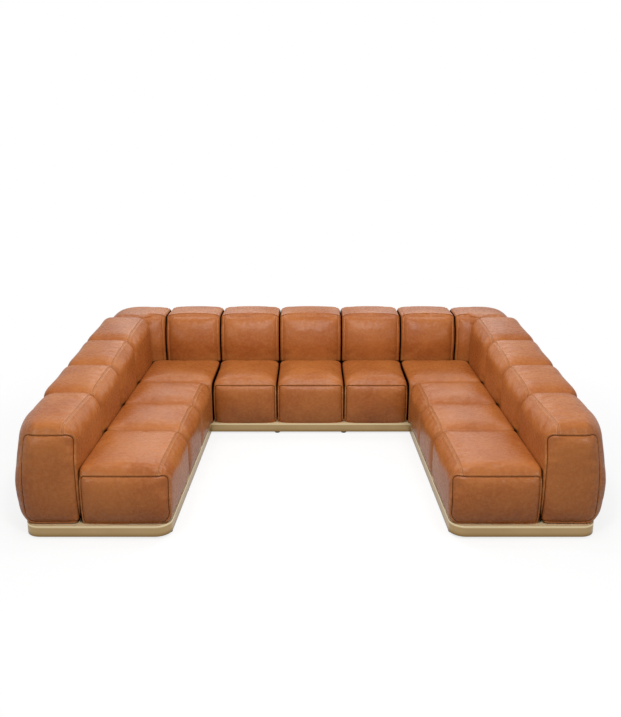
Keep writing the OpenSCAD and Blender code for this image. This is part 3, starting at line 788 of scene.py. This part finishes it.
# How backs meet, how their panels swell and the wide outer edge of a corner block.
BACKS = {"meeting": (0.046, 0.010), "dome": (0.028, 0.050)}
CORNER_EDGE = 0.125
SEATS_MEET = (0.032, 0.036)


def seat_inner(i):
    """Where a wing seat's inner face stands at its rear, or for 0 at the wing's front."""
    if i:
        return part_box(f"seat_right_{i}")[0].x
    first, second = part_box("seat_right_1"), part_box("seat_right_2")
    slope = (first[0].x - second[0].x) / (second[1].y - second[0].y)
    return first[0].x + slope * (first[1].y - first[0].y)


def arm_height(i):
    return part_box(f"arm_right_{max(i, 1)}")[1].z


blocks = []
for i in range(1, 5):
    first, last = i == 1, i == 4
    front = BOXED if first else MEETS
    at_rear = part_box(f"seat_right_{i}")[0].x
    blocks.append(Block(
        f"seat_right_{i}", (front, TUCKED, TUCKED if last else MEETS, MEETS if last else ROLLED),
        (SEAT_CORNER if first else PLAN_CORNER, *TIGHT[1:]),
        lean=(0 if last else seat_inner(i - 1) - at_rear, 0),
    ))
    blocks.append(Block(
        f"arm_right_{i}", (front, OUTER, MEETS, ROLLED),
        (PLAN_CORNER, ARM_CORNER if first else PLAN_CORNER, PLAN_CORNER, PLAN_CORNER),
        top=(arm_height(i - 1), arm_height(i)), crown=ARM_CROWN, nose=ARM_NOSE if first else 0,
        outer_edge=FIRST_ARM_EDGE if first else ARM_EDGE,
    ))
blocks.append(Block(
    "corner_right", (BOXED, OUTER, OUTER, MEETS), (PLAN_CORNER, PLAN_CORNER, REAR_CORNER, PLAN_CORNER),
    outer_edge=CORNER_EDGE, arm_from=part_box("arm_right_4")[0].x, **BACKS,
))
for name in ("back_3", "back_4", "back_5"):
    blocks.append(Block(name, (BOXED, MEETS, OUTER, MEETS), TIGHT, **BACKS))
for name in ("seat_back_2", "seat_back_3"):
    blocks.append(Block(name, (BOXED, MEETS, TUCKED, MEETS), TIGHT, meeting=SEATS_MEET))
print(len(blocks), "shapes to make")

# %% [markdown]
# Seams could be cut into the mesh as edges, but then every block would need its own net of faces. Here
# they are signed distances, negative inside and positive outside. A boxed face has its panel's outline, a
# rectangle with round corners drawn on the face, and the distance goes on round the block's edge. A wing's
# block has a sewn line along its inner top edge, and a back block has one up each side that runs on over
# its top. The same distances hold the cover down while it is simulated, press the groove into the finished
# mesh, and draw the seam's line in the leather.

# %% The panels' outlines
EDGE_INSET = 0.058
BACK_SEAM_INSET = 0.028
SEAM_DEPTH = 0.004
BOW_FROM = 0.26
# A panel of a seat or a back in the middle runs on below the block, so that it has no seam there.
PANEL_RUNS_ON = 0.05
# How far a panel's outline is inside the block at its low x and z, at its high x and z, and its radii.
PANELS = {
    "arm": ((0.007, 0.018), (0.063, 0.066), (0.015, 0.060, 0.040, 0.040)),
    "wing": ((0.010, 0.008), (0.016, 0.065), (0.066, 0.020, 0.024, 0.032)),
    "middle": ((0.014, -PANEL_RUNS_ON), (0.014, 0.064), (0.010, 0.010, 0.024, 0.024)),
    "back": ((BACK_SEAM_INSET, -PANEL_RUNS_ON), (BACK_SEAM_INSET, 0.024), (0.010, 0.010, 0.022, 0.022)),
}


def outline_distance(x, z, low, high, radii):
    """Signed distance to an upright rectangle with a radius for each corner, counted from low x, low z."""
    dx, dz = x - (low[0] + high[0]) / 2, z - (low[1] + high[1]) / 2
    r = np.where(dx < 0, np.where(dz < 0, radii[0], radii[3]), np.where(dz < 0, radii[1], radii[2]))
    qx = np.abs(dx) - (high[0] - low[0]) / 2 + r
    qz = np.abs(dz) - (high[1] - low[1]) / 2 + r
    return np.minimum(np.maximum(qx, qz), 0) + np.hypot(np.maximum(qx, 0), np.maximum(qz, 0)) - r


def panel_of(block):
    """Low corner, high corner and radii of the panel sewn into a block's face, or None."""
    if block.sides[FRONT] != BOXED:
        return None
    kind = "arm" if block.node.startswith("arm") else "wing" if block.sides[IN] == ROLLED else "middle"
    low, high, radii = PANELS["back" if block.is_back else kind]
    x0, x1 = block.low[0] + block.lean[0], block.high[0]
    return (x0 + low[0], block.low[2] + low[1]), (x1 - high[0], block.top[0] - high[1]), radii


def bowed(block, x, z, outline):
    """The x to draw a panel's outline on, which follows a block where it narrows to its top."""
    bow = block.bow * np.clip((z - BOW_FROM) / (outline[1][1] - BOW_FROM), 0, 1) ** 2
    return x + bow * smooth_step(x, outline[0][0], outline[1][0])


print("panels", sum(panel_of(block) is not None for block in blocks))

# %% [markdown]
# From the outlines each point of a cover gets its distances to the seams. They could be looked up from the
# nearest drawn line, but a formula gives them for any point, however finely the cover is cut later on.

# %% Distances to the seams
# Where a seam begins or ends: a panel's behind the front, an edge's below the top or above a back's foot.
BEHIND_FROM = 0.02
PANEL_ENDS = (0.07, 0.10)
EDGE_ENDS = (-0.12, -0.09)
BACK_EDGE_ENDS = (0.02, 0.06)
EDGE_LEAVES_PANEL = (0.004, 0.014)
PANEL_MIDDLE = 0.2


def seam_distances(block, points):
    """Distances to the panel's and the edge's seam, how much each is there, and a length along them."""
    x, y, z = points.T
    none, far = np.zeros(len(points)), np.ones(len(points))
    panel, panel_here, edge, edge_here, run = far, none, far, none, y
    height, lean = block.at(y)
    outline = panel_of(block)
    if outline:
        across = outline_distance(bowed(block, x, z, outline), z, *outline)
        behind = np.maximum(y - block.low[1] - SEAM_DEPTH, 0) * smooth_step(across, 0, BEHIND_FROM)
        panel = np.where(across > 0, np.hypot(across, behind), across)
        panel_here = 1 - smooth_step(y - block.low[1], *PANEL_ENDS)
    if block.sides[IN] == ROLLED:
        edge = x - (block.low[0] + lean + EDGE_INSET)
        edge_here = smooth_step(z - height, *EDGE_ENDS)
    if block.is_back:
        left, right = x - block.low[0] - BACK_SEAM_INSET, block.high[0] - BACK_SEAM_INSET - x
        edge = -np.minimum(left, right) if block.sides[OUT] == MEETS else -left
        edge_here = smooth_step(z - block.low[2], *BACK_EDGE_ENDS)
    if outline:
        edge_here = edge_here * smooth_step(panel, *EDGE_LEAVES_PANEL)
        run = np.where(np.abs(panel) < np.abs(edge), np.abs(x - outline[0][0] - PANEL_MIDDLE) - z, y)
    return panel, panel_here, edge, edge_here, run


print("a wing's edge seam is", round(1000 * EDGE_INSET), "mm from the inner side")

# %% [markdown]
# A stuffed cover is never quite as regular as its pattern. Folds could be sculpted or drawn as a bump, but
# cloth finds its own, so the cover is simulated as cloth. Air pressure stands in for the foam. The cloth is
# cut a little larger than its block, so it has leather to spare, and it is held where it is sewn or where a
# neighbour presses on it. What is spare gathers into soft folds that start at the seams. The movement is
# eased off towards a limit, so that no block leaves the space its construction gives it.

# %% Simulate the covers
FRAMES = 20
LARGEST_MOVE = 0.006
CLOTH = {
    "quality": 5, "tension_stiffness": 40, "compression_stiffness": 40, "shear_stiffness": 20,
    "bending_stiffness": 4, "shrink_min": -0.008, "use_pressure": True, "uniform_pressure_force": 1.2,
    "vertex_group_mass": "held",
}
# The cloth is held so near to its underside, to a neighbour and to a seam.
HELD_BELOW, HELD_BESIDE, HELD_AT_SEAM = 0.02, 0.012, 0.008


def held(block, points):
    """1 where the cover can't move: on its underside and against a neighbour."""
    hold = points[:, 2] < block.low[2] + HELD_BELOW
    for kind, gap in zip(block.sides, gaps_to_sides(points, block)):
        if kind in (MEETS, TUCKED):
            hold = hold | (gap < HELD_BESIDE)
    return hold


def start_cover(block):
    obj = gridded_box("leather_" + block.node, Vector(block.low), Vector(block.high))
    points = points_of(obj.data)
    hold = held(block, points)
    points = block.shaped(swell(round_off(points, block), block))
    panel, panel_here, edge, edge_here, _ = seam_distances(block, points)
    for away, here in ((panel, panel_here), (edge, edge_here)):
        hold = hold | ((np.abs(away) < HELD_AT_SEAM) & (here > 0.5))
    set_points(obj.data, points)
    group = obj.vertex_groups.new(name="held")
    group.add([int(i) for i in np.flatnonzero(hold)], 1.0, "REPLACE")
    block.obj, block.start = obj, points
    cloth = obj.modifiers.new("cover", "CLOTH")
    for name, value in CLOTH.items():
        setattr(cloth.settings, name, value)
    cloth.settings.effector_weights.gravity = 0
    cloth.collision_settings.use_collision = False
    cloth.point_cache.frame_end = FRAMES


for block in blocks:
    start_cover(block)
print("cells", sum(len(b.obj.data.polygons) for b in blocks))

for step in range(1, FRAMES + 1):
    bpy.context.scene.frame_set(step)

for block in blocks:
    freeze(block.obj)
    move = points_of(block.obj.data) - block.start
    length = np.linalg.norm(move, axis=1, keepdims=True)
    eased = LARGEST_MOVE * (1 - np.exp(-length / LARGEST_MOVE))
    set_points(block.obj.data, block.start + move * eased / np.maximum(length, 1e-9))
    block.moved = float(length.max()), float(length.mean())
bpy.context.scene.frame_set(1)
print("largest and mean moves, mm", [tuple(round(1000 * m, 1) for m in b.moved) for b in blocks])

# %% [markdown]
# One subdivision rounds off what the cells left angular, and the faces near a seam are cut once more.
# Then the seams are pressed in along the surface's own normals. A bump could draw them, but its grooves
# cast no shadow and vanish at the outline. On a sewn edge the leather does three things: it sinks into the
# seam, it stands up in a narrow ridge over the hidden hem, and the panel inside swells up from the seam
# like a pillow. Small puckers cross the ridge where the thread draws it in.

# %% Press the seams
SEAM_REACH = 0.017
GROOVE, GROOVE_WIDTH = 0.0042, 0.0045
RIDGE, RIDGE_AT, RIDGE_WIDTH = 0.0022, 0.0100, 0.0055
PUCKER, PUCKER_WIDTH = 0.0006, 0.013
PUCKER_LENGTHS = (0.0170, 0.0231, 0.0313, 0.0467)
# A back's seams are pressed flatter and drawn fainter than the wings', and an edge is pressed by half.
BACK_GROOVE, BACK_LINE, EDGE_PRESSED = 0.7, 0.25, 0.5
PILLOW_EDGE = 0.007


def refine(mesh, close):
    """Cuts the faces whose points are close to a seam into four."""
    bm = bmesh.new()
    bm.from_mesh(mesh)
    bm.verts.ensure_lookup_table()
    edges = [e for e in bm.edges if close[e.verts[0].index] and close[e.verts[1].index]]
    bmesh.ops.subdivide_edges(bm, edges=edges, cuts=1, smooth=1.0, use_grid_fill=True)
    bm.to_mesh(mesh)
    bm.free()


def pucker(run):
    """A wave that never quite repeats, between -1 and 1."""
    waves = [np.sin(2 * np.pi * run / length + 9 * k) for k, length in enumerate(PUCKER_LENGTHS)]
    return sum(waves) / len(waves)


def bell(away, width):
    return np.exp(-(away / width) ** 2)


def pillow(block, points, panel):
    """How far the padding lifts a panel: 1 in its middle, 0 at its seam."""
    outline = panel_of(block)
    if not outline:
        return np.zeros(len(points))
    (x0, z0), (x1, z1) = outline[:2]
    x, z = bowed(block, points[:, 0], points[:, 2], outline), points[:, 2]
    lift = 1 - np.exp(np.minimum(panel, 0) / PILLOW_EDGE)
    for gap in (x - x0, x1 - x, z - z0, z1 - z):
        lift *= 1 - np.exp(-np.maximum(gap, 0) / block.dome_width)
    return lift * standing_free(points, block)


print("grooves are", round(1000 * GROOVE, 1), "mm deep")

# %% [markdown]
# Between two blocks the leather goes down into a gap a few millimetres wide that no light reaches. Rays of
# light would need many bounces to find that out, so the depth is stored on the mesh and the leather's
# colour is darkened by it as painted shade. It fades where the gap opens: near the ends of a seam, at a
# wing's open end, and above the seats.

# %% Darken the gaps
SEAT_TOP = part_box("seat_right_1")[1].z
GAP_DARK, GAP_PALE = 0.0035, 0.0095
# From a seam's end the gap beside a taller block goes from little of its dark to all of it.
GAP_AT_END, GAP_ENDS = 0.3, (0.012, 0.035)
# The gap in front of the corner seat opens towards the middle of the sofa.
CORNER_OPENS = (0.08, 0.18)
# A taller block's leather gets painted shade where it is buried below the seat's top and within this reach
# of the seat.
BURIED, BURIED_REACH, TALLER = (-0.046, -0.026), 0.08, 0.05
# A first arm's leather is buried only from here behind its front.
BURIED_BEHIND = (0.03, 0.06)


def depth_in_gap(block, points):
    """How much painted shade darkens the leather: 1 in the narrow gap against a neighbour, 0 in the open."""
    gap_shade = np.zeros(len(points))
    share = (block.high[0] - points[:, 0]) / (block.high[0] - block.low[0])
    straight = points.copy()
    straight[:, 0] -= block.at(points[:, 1])[1] * share
    gaps = gaps_to_sides(straight, block)
    ends = [gap for kind, gap in zip(block.sides, gaps) if kind == MEETS]
    closed = GAP_AT_END + (1 - GAP_AT_END) * smooth_step(np.min(ends, axis=0), *GAP_ENDS)
    for side, (kind, gap) in enumerate(zip(block.sides, gaps)):
        if kind in (MEETS, TUCKED):
            near = 1 - smooth_step(gap, GAP_DARK, GAP_PALE)
            if kind == TUCKED:
                near = near * closed
            if side == FRONT and block.sides[IN] == MEETS:
                near = near * smooth_step(gaps[IN], *CORNER_OPENS)
            gap_shade = np.maximum(gap_shade, near)
    # Painted shade also darkens a taller block's leather below the seat's top, beside the seat.
    if block.low[2] < SEAT_TOP < block.high[2] - TALLER:
        beside = gaps[FRONT if block.is_back else IN] < BURIED_REACH
        buried = (1 - smooth_step(points[:, 2] - SEAT_TOP, *BURIED)) * beside
        if not block.is_back:
            buried = buried * closed
            if block.sides[FRONT] == BOXED:
                buried = buried * smooth_step(points[:, 1] - block.low[1], *BURIED_BEHIND)
        gap_shade = np.maximum(gap_shade, buried * standing_free(points, block))
    return gap_shade


print("gaps are black within", round(1000 * GAP_DARK, 1), "mm of a neighbour")

# %% [markdown]
# The finish goes onto each cover in one pass, because every measure is taken from the same points. The
# distances could be painted as a picture instead, but then each block would need its pattern laid flat.

# %% Finish the covers
def store(mesh, name, values):
    mesh.attributes.new(name, "FLOAT", "POINT").data.foreach_set("value", values.astype(np.float32))


def near_seam(away, here):
    return (here > 0.01) & (np.abs(away) < SEAM_REACH)


def pressed(block, points):
    """How far each point is lifted, and the values that the leather's finish reads."""
    panel, panel_here, edge, edge_here, run = seam_distances(block, points)
    groove, line = (BACK_GROOVE, BACK_LINE) if block.is_back else (1, 1)
    lift = block.dome * pillow(block, points, panel)
    lift += RIDGE * bell(panel - RIDGE_AT, RIDGE_WIDTH) - groove * GROOVE * bell(panel, GROOVE_WIDTH)
    lift += PUCKER * pucker(run) * bell(panel - RIDGE_AT, PUCKER_WIDTH)
    lift *= panel_here
    ridges = RIDGE * bell(np.abs(edge) - RIDGE_AT, RIDGE_WIDTH)
    lift += edge_here * EDGE_PRESSED * (ridges - GROOVE * bell(edge, GROOVE_WIDTH))
    lift += edge_here * PUCKER * pucker(run) * bell(edge, PUCKER_WIDTH)
    return lift, {
        "panel": panel, "panel_here": panel_here * line, "edge": edge, "edge_here": edge_here * line,
        "run": run, "gap_shade": depth_in_gap(block, points),
    }


def finish_cover(block):
    obj = block.obj
    finer = obj.modifiers.new("finer", "SUBSURF")
    finer.levels = finer.render_levels = 1
    freeze(obj)
    mesh = obj.data
    panel, panel_here, edge, edge_here, _ = seam_distances(block, points_of(mesh))
    refine(mesh, near_seam(panel, panel_here) | near_seam(edge, edge_here))
    points = points_of(mesh)
    normals = np.empty(len(points) * 3, np.float32)
    mesh.vertices.foreach_get("normal", normals)
    lift, values = pressed(block, points)
    set_points(mesh, points + normals.reshape(-1, 3) * lift[:, None])
    for name, value in values.items():
        store(mesh, name, value)
    mesh.materials.append(leather)
    mesh.shade_smooth()


for block in blocks:
    finish_cover(block)
print("faces", sum(len(b.obj.data.polygons) for b in blocks))

# %% [markdown]
# The stitches that show could be a pattern in the leather, but up close a thread stands proud of it. So they
# are real ones, small grains of thread laid on the finished leather. Two rows run along each wing's inner
# top edge, one on either side of the seam, and one row goes round each panel of a seat or an arm. Each
# stitch is dropped onto the cover by a ray or by its nearest point, and lies along the line from its own
# start to its end.

# %% Stitches
STITCH, PITCH, THREAD = 0.0078, 0.0108, 0.0013
ROW_OFFSET = 0.004
PANEL_ROW = 0.0068
# Edge rows stop so far short of a block's ends, and skip leather that faces up less than this.
ROW_STOPS, FACES_UP = 0.012, 0.5
# A panel's row starts so far above the block's foot, and has this many spots to a pitch.
ROW_ABOVE, SPOTS_TO_PITCH = 0.02, 3
# A stitch's middle is above the leather by this share of the thread's thickness.
STANDS_PROUD = 0.15


def make_thread():
    material, tree, shader = new_material("thread")
    twist = noise(tree, object_place(tree), 900, 2)
    feed(shader, "Base Color", mixed(tree, twist, colour("#7c4a26"), colour("#a9703f")))
    feed(shader, "Roughness", 0.55 + twist * 0.2)
    feed(shader, "Normal", bump(tree, twist, 0.0002, 0.5))
    return material


thread = make_thread()


def add_stitch(bm, start, end, normal):
    """One grain of thread from start to end, a third of it sunk in the leather."""
    along = end - start
    # Where its two spots land on different folds, the stitch is left out.
    if not 0.5 * STITCH < along.length < 1.5 * STITCH:
        return
    along.normalize()
    side = normal.cross(along).normalized()
    turn = Matrix((along, side, along.cross(side))).transposed().to_4x4()
    size = Matrix.Diagonal((STITCH / 2, THREAD / 2, THREAD / 2, 1))
    bmesh.ops.create_uvsphere(
        bm, u_segments=6, v_segments=4, radius=1,
        matrix=Matrix.Translation((start + end) / 2 + normal * THREAD * STANDS_PROUD) @ turn @ size,
    )


def edge_rows(block, skin, bm):
    """Two rows along the inner top edge."""
    for row in (-ROW_OFFSET, ROW_OFFSET):
        for y in np.arange(block.low[1] + ROW_STOPS, block.high[1] - ROW_STOPS, PITCH):
            hits = []
            for at in (y, y + STITCH):
                x = block.low[0] + block.at(at)[1] + EDGE_INSET + row
                above = Vector((x, at, block.high[2] + 0.2))
                hits.append(skin.ray_cast(above, Vector((0, 0, -1))))
            (start, normal, *_), (end, *_) = hits
            if start and end and normal.z > FACES_UP:
                add_stitch(bm, start, end, normal)


def quarter_turn(centre, radius, first, step):
    """Points of a round corner, clockwise from an angle in degrees, and the way out at each."""
    count = max(2, round(radius * math.pi / 2 / step))
    turns = np.radians(np.linspace(first, first - 90, count, endpoint=False))
    ways = [(math.cos(a), math.sin(a)) for a in turns]
    return [((centre[0] + radius * x, centre[1] + radius * z), (x, z)) for x, z in ways]


def walk_outline(low, high, radii, step):
    """Points up one side of a panel, over its top and down, and the way out at each."""
    (x0, z0), (x1, z1) = low, high
    foot0, foot1, top1, top0 = radii
    walk = [((x0, z), (-1, 0)) for z in np.arange(z0 + foot0, z1 - top0, step)]
    walk += quarter_turn((x0 + top0, z1 - top0), top0, 180, step)
    walk += [((x, z1), (0, 1)) for x in np.arange(x0 + top0, x1 - top1, step)]
    walk += quarter_turn((x1 - top1, z1 - top1), top1, 90, step)
    walk += [((x1, z), (1, 0)) for z in np.arange(z1 - top1, max(z0, 0) + foot1, -step)]
    return walk


def panel_row(block, skin, bm):
    """One row round the outside of the front panel."""
    spots = []
    y = block.low[1] + SEAM_DEPTH + PANEL_ROW
    for (x, z), (nx, nz) in walk_outline(*panel_of(block), PITCH / SPOTS_TO_PITCH):
        if z > block.low[2] + ROW_ABOVE:
            spots.append(skin.find_nearest(Vector((x + nx * PANEL_ROW, y, z + nz * PANEL_ROW))))
    for start, end in zip(spots[::SPOTS_TO_PITCH], spots[SPOTS_TO_PITCH - 1::SPOTS_TO_PITCH]):
        add_stitch(bm, start[0], end[0], start[1])


def sew(block):
    bm = bmesh.new()
    skin = bvhtree.BVHTree.FromObject(block.obj, bpy.context.evaluated_depsgraph_get())
    if block.sides[IN] == ROLLED:
        edge_rows(block, skin, bm)
    if block.sides[FRONT] == BOXED and not block.is_back:
        panel_row(block, skin, bm)
    if not bm.verts:
        return None
    obj = as_object("stitches_" + block.node, bm)
    obj.data.materials.append(thread)
    obj.data.shade_smooth()
    return obj


bpy.context.view_layer.update()
for block in blocks:
    block.stitches = sew(block)
print("stitches", sum(len(b.stitches.data.polygons) // 24 for b in blocks if b.stitches))

# %% [markdown]
# The left side of the sofa is the right side's mirror image. It could be simulated again, but that takes
# twice the time, so the finished covers are mirrored and their faces turned the right way out again. The
# leather's pattern lies in the room's own coordinates, so the two sides share their cut but not their marks.

# %% Place the covers
# The blocks whose twins aren't named by left and right. The two in the middle have none.
TWIN = {
    "back_3": None, "back_4": "back_2", "back_5": "back_1",
    "seat_back_2": None, "seat_back_3": "seat_back_1",
}


def mirrored(obj, name):
    mesh = obj.data.copy()
    mesh.transform(Matrix.Diagonal((-1, 1, 1, 1)))
    mesh.flip_normals()
    twin = bpy.data.objects.new(name, mesh)
    bpy.context.scene.collection.objects.link(twin)
    return twin


def place(cover, node_name, stitches):
    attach(cover, "root")
    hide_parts(node_name)
    if stitches:
        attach(stitches, "root")


for block in blocks:
    place(block.obj, block.node, block.stitches)
    other = TWIN.get(block.node, block.node.replace("right", "left"))
    if other:
        twin = mirrored(block.obj, "leather_" + other)
        place(twin, other, block.stitches and mirrored(block.stitches, "stitches_" + other))

# %% [markdown]
# The black cloth under each unit keeps dust out of it, and is a flat sheet stapled tight to the frame. It is
# the one cloth here that isn't padded. It could hang in a simulated sag, but a tight one has none, so the
# model's own thin solid is its shape. The wings' cloths have notched corners and holes for the glides.

# %% [markdown]
# A photographer would light the sofa softly from above. One large lamp could do that, but it flattens the
# tops, so there are several small ones. The main lamp hangs high in front of the open end, with a weak one
# low behind it. Others hang over the wings, the middle and the rear. Two behind the back give the tops their
# sheen, and two in front of the corners reach the sides. The room's own light fills the rest.

# %% Studio
def area_light(name, place, aim, size, power):
    light = bpy.data.lights.new(name, "AREA")
    light.shape = "RECTANGLE"
    light.size, light.size_y = size
    light.energy = power
    obj = bpy.data.objects.new(name, light)
    obj.location = place
    obj.rotation_euler = (Vector(aim) - Vector(place)).to_track_quat("-Z", "Y").to_euler()
    obj.visible_camera = False
    bpy.context.scene.collection.objects.link(obj)


area_light("front", (0, -3.2, 3.7), (0, -0.3, 0.4), (0.6, 0.6), 69)
area_light("front_low", (0, -4.3, 2.7), (0, -0.6, 0.4), (0.3, 0.3), 7)
area_light("over_centre", (0, -0.45, 3.1), (0, 0.6, 0.5), (1.1, 0.5), 20)
for name, x in (("left", -1), ("right", 1)):
    area_light("over_" + name, (x * 1.2, -1.3, 3.2), (x * 1.2, -0.9, 0.5), (0.5, 0.5), 13)
    area_light("rear_" + name, (x * 1.2, 1.4, 3.0), (x * 0.9, 0, 0.4), (1.0, 0.8), 12)
    area_light("behind_" + name, (x * 1.3, 3.2, 2.0), (x * 0.9, 0, 0.5), (1.7, 0.8), 11)
    area_light("side_" + name, (x * 3.6, -4.0, 2.0), (x * 1.0, -0.8, 0.4), (0.35, 0.35), 24)
print("lamps", len(bpy.data.lights))

# %% [markdown]
# The photograph has a white room round the sofa. A stronger light could make the room white too, but only
# by washing out the leather. So the world is told apart by the ray that meets it: to the camera, a mirror
# or glass it is plain white, and on everything else it shines softly.

# %% Room
ROOM_LIGHT = 0.35
WHITE = (1, 1, 1, 1)


def sees_room(tree):
    """1 for a ray from the camera, from a mirror or through glass."""
    path = tree.nodes.new("ShaderNodeLightPath")
    rays = ("Is Camera Ray", "Is Glossy Ray", "Is Transmission Ray")
    from_camera, from_mirror, through_glass = [Wire(path.outputs[name]) for name in rays]
    return node(
        tree, "ShaderNodeMath", {"operation": "ADD", "use_clamp": True},
        {0: from_camera + from_mirror, 1: through_glass},
    )


world = bpy.data.worlds.new("studio")
bpy.context.scene.world = world
world.use_nodes = True
tree = world.node_tree
tree.nodes.clear()
room = node(tree, "ShaderNodeBackground", {}, {"Color": WHITE, "Strength": ROOM_LIGHT})
white = node(tree, "ShaderNodeBackground", {}, {"Color": WHITE, "Strength": 1})
both = mix_shaders(tree, sees_room(tree), room, white)
tree.links.new(both.socket, tree.nodes.new("ShaderNodeOutputWorld").inputs[0])
print("room light", ROOM_LIGHT)

# %% [markdown]
# The floor is white paper that takes the sofa's shadow. It could simply be white, but its bounced light
# would then make the leather pale near the floor, so to bounced light it is a dull grey. To the camera it
# glows white by itself, a little less under the sofa, so that the shadow fades out into the white room.

# %% Floor
FLOOR_SIZE = 25
FLOOR_DULL, FLOOR_PALE = (0.2, 0.2, 0.2, 1), (0.95, 0.95, 0.95, 1)
# In the middle the floor is this much glow and the rest paper. Between these distances it becomes all glow.
FLOOR_GLOW, GLOW_EDGE = 0.75, (1.3, 3.4)
bm = bmesh.new()
bmesh.ops.create_grid(bm, x_segments=1, y_segments=1, size=FLOOR_SIZE)
floor = as_object("floor", bm)
floor_material, tree, shader = new_material("floor")
seen = sees_room(tree)
feed(shader, "Base Color", mixed(tree, seen, FLOOR_DULL, FLOOR_PALE))
shader.inputs["Roughness"].default_value = 0.9
shader.inputs["Specular IOR Level"].default_value = 0
glow = node(tree, "ShaderNodeEmission", {}, {"Color": WHITE, "Strength": 1})
away = node(tree, "ShaderNodeVectorMath", {"operation": "LENGTH"}, {0: object_place(tree)}, output=1)
share = FLOOR_GLOW + rising(tree, away, *GLOW_EDGE) * (1 - FLOOR_GLOW)
make_surface(tree, mix_shaders(tree, seen * share, Wire(shader.outputs[0]), glow))
floor.data.materials.append(floor_material)
bpy.context.scene.view_settings.view_transform = "Standard"
print("floor", np.ptp(points_of(floor.data)[:, 0]), "m wide")
